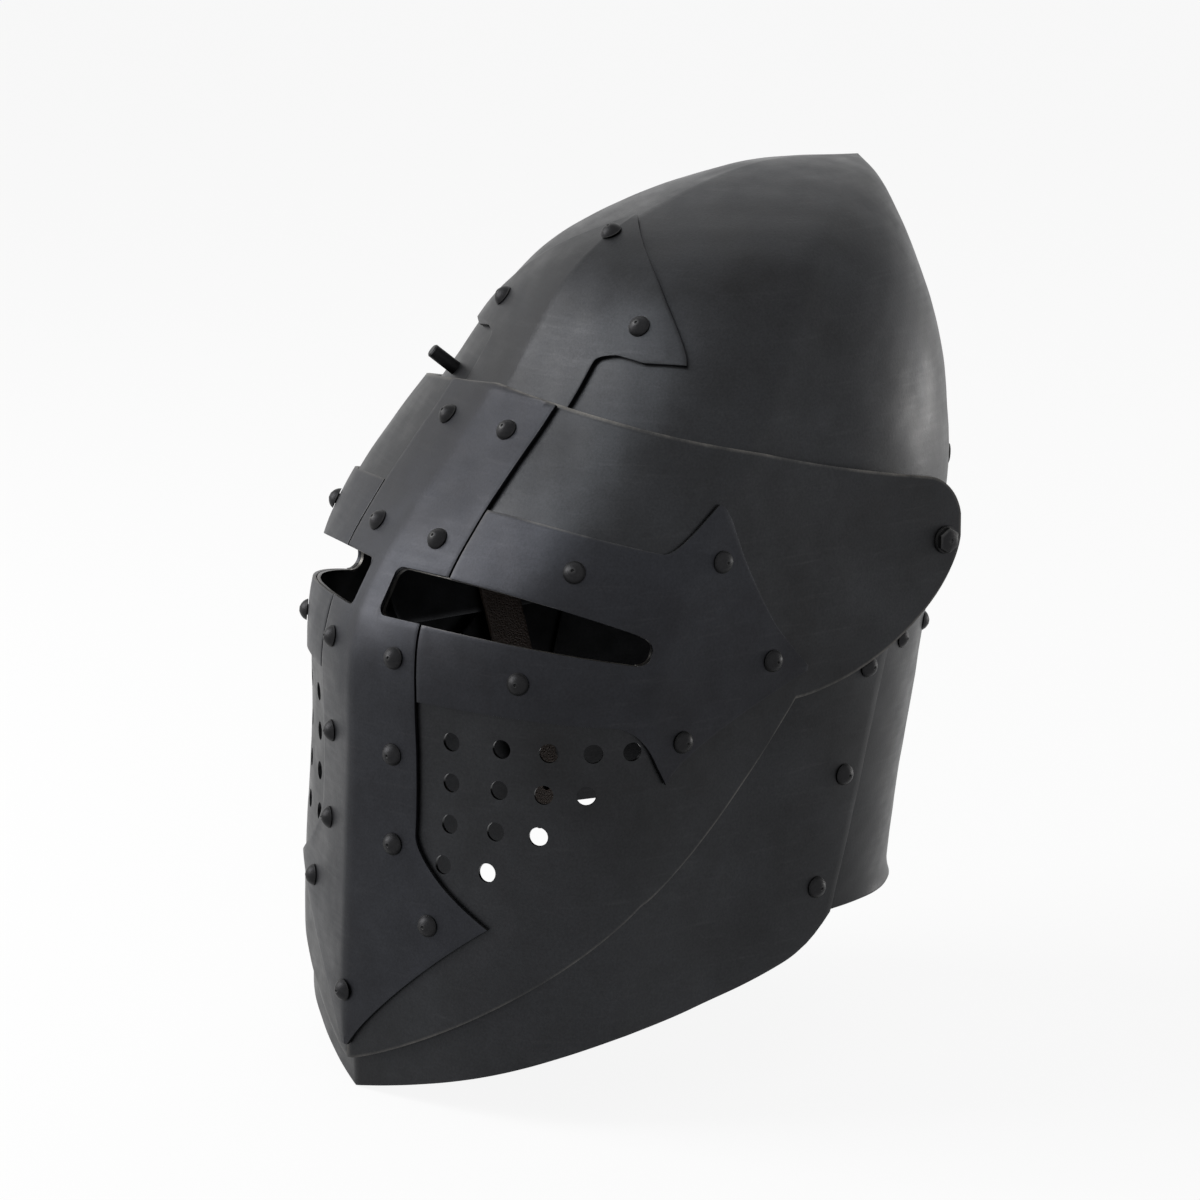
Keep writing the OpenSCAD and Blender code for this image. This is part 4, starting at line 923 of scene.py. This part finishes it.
print("lining")
lining = {"thick": 2.2, "bandZ": 252, "bandH": 22, "tongueW": 34, "crownZ": 322, "crownY": 30, "crownR": 33,
          "lapR": 24, "reach": 11, "bandLap": 9, "endW": 9, "tipW": 7, "gap": 0.2, "rise": 0.3, "bend": 0.6,
          "discGap": 0.18, "cols": 288, "rows": 11, "round": 0.7}
bandOff = plate + lay
tongueOff = bandOff + lining["thick"] + lay + lining["gap"]
us = np.linspace(-3, 3, lining["cols"], endpoint=False)[None, :]
hs = (lining["bandZ"] + np.linspace(-0.5, 0.5, lining["rows"]) * lining["bandH"])[:, None]
hs, us = np.broadcast_arrays(hs, us)
inner, outer = onBody(hs, us, -bandOff - lining["thick"]), onBody(hs, us, -bandOff)
band = gridPiece("lining_band_hide", inner, outer, closed=True)
softenEdges(band, lining["round"], 3)
finishPiece(band, materials["lining"], "helmet", ["lining_band"], edgeWearAndLight=1.0)
liningSpots = both([(lining["bandZ"], u) for u in (1.08, 1.74, 2.2, 2.7)])


# The point under the crown disc, r from its middle, towards a place u0 on the band.
def crownSpot(u0, r):
    q = body0(lining["bandZ"], u0)
    turn = math.atan2(q[1] - lining["crownY"], q[0])
    x, y = r * math.cos(turn), lining["crownY"] + r * math.sin(turn)
    return np.array([x, y, lining["crownZ"] + lining["thick"]])


# A point of a tongue: c across it, f along it from -1 on the band over 0 and 1 to 2 on the crown disc.
def tonguePoint(u0, c, f):
    across = np.linalg.norm(body0(lining["bandZ"], u0 + 0.05) - body0(lining["bandZ"], u0 - 0.05))
    u = u0 + c * 0.1 * lining["tongueW"] / across
    z, over = lining["bandZ"], lining["bandLap"]
    far = crownSpot(u0, lining["lapR"] + lining["reach"])
    lap = unit(np.cross([0, 0, 1], [far[0], far[1] - lining["crownY"], 0]))
    rise = body0(z + over, u) + (-tongueOff - lining["rise"]) * facing(body0, z + over, u)
    knee = np.array([mix(rise[0], far[0], lining["bend"]), mix(rise[1], far[1], lining["bend"]), far[2]])
    end = far + c * lining["endW"] * lap
    if f < 0:
        return mix(rise, body0(z - over, u) - tongueOff * facing(body0, z - over, u), -f)
    if f > 1:
        return mix(end, crownSpot(u0, lining["lapR"]) + c * lining["tipW"] * lap, f - 1)
    return rise * (1 - f) ** 2 + knee * 2 * f * (1 - f) + end * f * f


fs = np.concatenate([np.linspace(-1, 0, 7)[:-1], np.linspace(0, 1, 25)[:-1], np.linspace(1, 2, 7)])
cs = np.linspace(-0.5, 0.5, 13)
tongues = []
for k, (z, u0) in enumerate(liningSpots):
    outer = np.array([[tonguePoint(u0, c, f) for c in cs] for f in fs])
    n = unit(np.cross(np.gradient(outer, axis=1), np.gradient(outer, axis=0)))
    if (n * facing(body0, z, u0)).sum(-1)[3, 6] < 0:
        n = -n
    piece = gridPiece("tongue" + str(k), outer - lining["thick"] * n, outer)
    activate(piece)
    bpy.ops.object.mode_set(mode="EDIT")
    bpy.ops.mesh.select_all(action="SELECT")
    bpy.ops.mesh.normals_make_consistent(inside=False)
    bpy.ops.object.mode_set(mode="OBJECT")
    softenEdges(piece, lining["round"], 3)
    tongues.append(piece)
tongueSet = joined(tongues)
tongueSet.name = "lining_tongue_hides"
finishPiece(tongueSet, materials["lining"], "helmet", ["lining_tongues"], edgeWearAndLight=1.0)

discZ = lining["crownZ"] - lining["thick"] / 2 - lining["discGap"]
bpy.ops.mesh.primitive_cylinder_add(vertices=96, radius=lining["crownR"] / 1000, depth=lining["thick"] / 1000,
                                    location=(0, lining["crownY"] / 1000, discZ / 1000))
disc = bpy.context.active_object
bpy.ops.object.transform_apply()
disc.name = "crown_hide"
softenEdges(disc, lining["round"], 3)
finishPiece(disc, materials["lining"], "helmet", ["crown_disc"], edgeWearAndLight=1.0)

strap = {"width": 20, "thick": 2.4, "top": 216, "lowLeft": 122, "lowRight": 62, "bendZ": 206, "bendH": 144,
         "topY": -4, "lowY": 31, "slack": 1.2, "slackH": 40, "rows": 90, "cols": 11, "round": 0.6, "hole": 4,
         "holeZ": (72, 113, 10)}


def strapY(h):
    return mix(strap["topY"], strap["lowY"], clamp((strap["bendZ"] - h) / strap["bendH"]) ** 1.1)


# A point of the left strap: across its width, and k from 0 inside to 1 outside.
def strapPoint(h, across, k):
    u = sideU(strapY(h) + across * strap["width"], h)
    off = plate + lay + strap["slack"] * ease((strap["bendZ"] - h) / strap["slackH"])
    return body0(h, u) + (-off - (1 - k) * strap["thick"])[..., None] * facing(body0, h, u)


for side, s, low in (("left", 1, strap["lowLeft"]), ("right", -1, strap["lowRight"])):
    hs, across = np.broadcast_arrays(np.linspace(low, strap["top"], strap["rows"])[:, None],
                                     np.linspace(-0.5, 0.5, strap["cols"])[None, :])
    inner, outer = mirrored(s, strapPoint(hs, across, 0), strapPoint(hs, across, 1))
    piece = gridPiece("chin_strap_hide_" + side, inner, outer)
    softenEdges(piece, strap["round"], 3)
    if s < 0:  # the buckle's holes are in the right strap
        holes = []
        for h in range(*strap["holeZ"]):
            u = -float(sideU(strapY(h), h))
            n = facing(body0, h, u)
            holes.append((body0(h, u) - 4 * n, n, strap["hole"]))
        drill(piece, holes)
    finishPiece(piece, materials["strap"], "helmet", ["chin_strap_" + side], edgeWearAndLight=1.0)

print("frame finishes")
nodeFinish = {"bolt": ["pivot_boss_left", "pivot_boss_right", "catch_pin"],
              "inner": ["pivot_saddle_left", "pivot_saddle_right", "pivot_nut_left", "pivot_nut_right",
                        "catch_spring", "catch_spring_rivets", "lining_rivets", "crown_rivets",
                        "chin_strap_rivets"],
              "buckle": ["buckle_frame", "buckle_prong"]}
for key, nodes in nodeFinish.items():
    for name in nodes:
        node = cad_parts[name]
        node.data.materials.clear()
        node.data.materials.append(materials[key])

print("stage")


# One for the rays that see the backdrop itself, by the camera, a reflection or through glass.
def seenRays(tree):
    path = tree.nodes.new("ShaderNodeLightPath")
    seen = mathNode(tree, "ADD", path.outputs["Is Camera Ray"], path.outputs["Is Glossy Ray"])
    return mathNode(tree, "ADD", seen, path.outputs["Is Transmission Ray"])


bpy.ops.mesh.primitive_plane_add(size=60, location=(0, 0, -0.0005))
floor = bpy.context.active_object
floor.name = "floor"
paper = bpy.data.materials.new("paleFloor")
paper.use_nodes = True
tree = paper.node_tree
shader = setInputs(tree, tree.nodes["Principled BSDF"], {"Base Color": (0.86, 0.86, 0.86, 1), "Roughness": 0.9})
glow = tree.nodes.new("ShaderNodeEmission")
blend = setInputs(tree, tree.nodes.new("ShaderNodeMixShader"),
                  {"Fac": mathNode(tree, "MULTIPLY", seenRays(tree), 0.9), 1: shader.outputs["BSDF"],
                   2: glow.outputs["Emission"]})
tree.links.new(blend.outputs["Shader"], tree.nodes["Material Output"].inputs["Surface"])
floor.data.materials.append(paper)

world = bpy.data.worlds.new("studio")
scene.world = world
world.use_nodes = True
tree = world.node_tree
strength = rangeNode(tree, seenRays(tree), 0, 1, 0.35, 1.0)
setInputs(tree, tree.nodes["Background"], {"Color": (1, 1, 1, 1), "Strength": strength})

# Each lamp: metres to the right of the look-at point, up and back towards the camera, size, watts and colour.
lamps = {"keyLeft": (-1.6, 0.85, 0.1, 1.1, 32, (1.0, 0.99, 0.98)),
         "visorTop": (-1.1, 1.35, 0.65, 0.45, 4, (0.90, 0.96, 1.0)),
         "topSoft": (0.1, 1.9, -0.8, 1.6, 3, (0.97, 0.98, 1.0)),
         "rimRight": (1.85, 0.0, -0.95, 0.7, 19, (1.0, 0.98, 0.95))}
for name, (right, up, toCamera, size, watts, colour) in lamps.items():
    lamp = bpy.data.lights.new(name, "AREA")
    lamp.size = size
    lamp.energy = watts
    lamp.color = colour
    place = bpy.data.objects.new(name, lamp)
    scene.collection.objects.link(place)
    where = lookAt + camRight * right + camUp * up + camBack * toCamera
    place.matrix_world = Matrix.Translation(where) @ (where - lookAt).to_track_quat("Z", "Y").to_matrix().to_4x4()

scene.view_settings.view_transform = "Standard"
print("done")
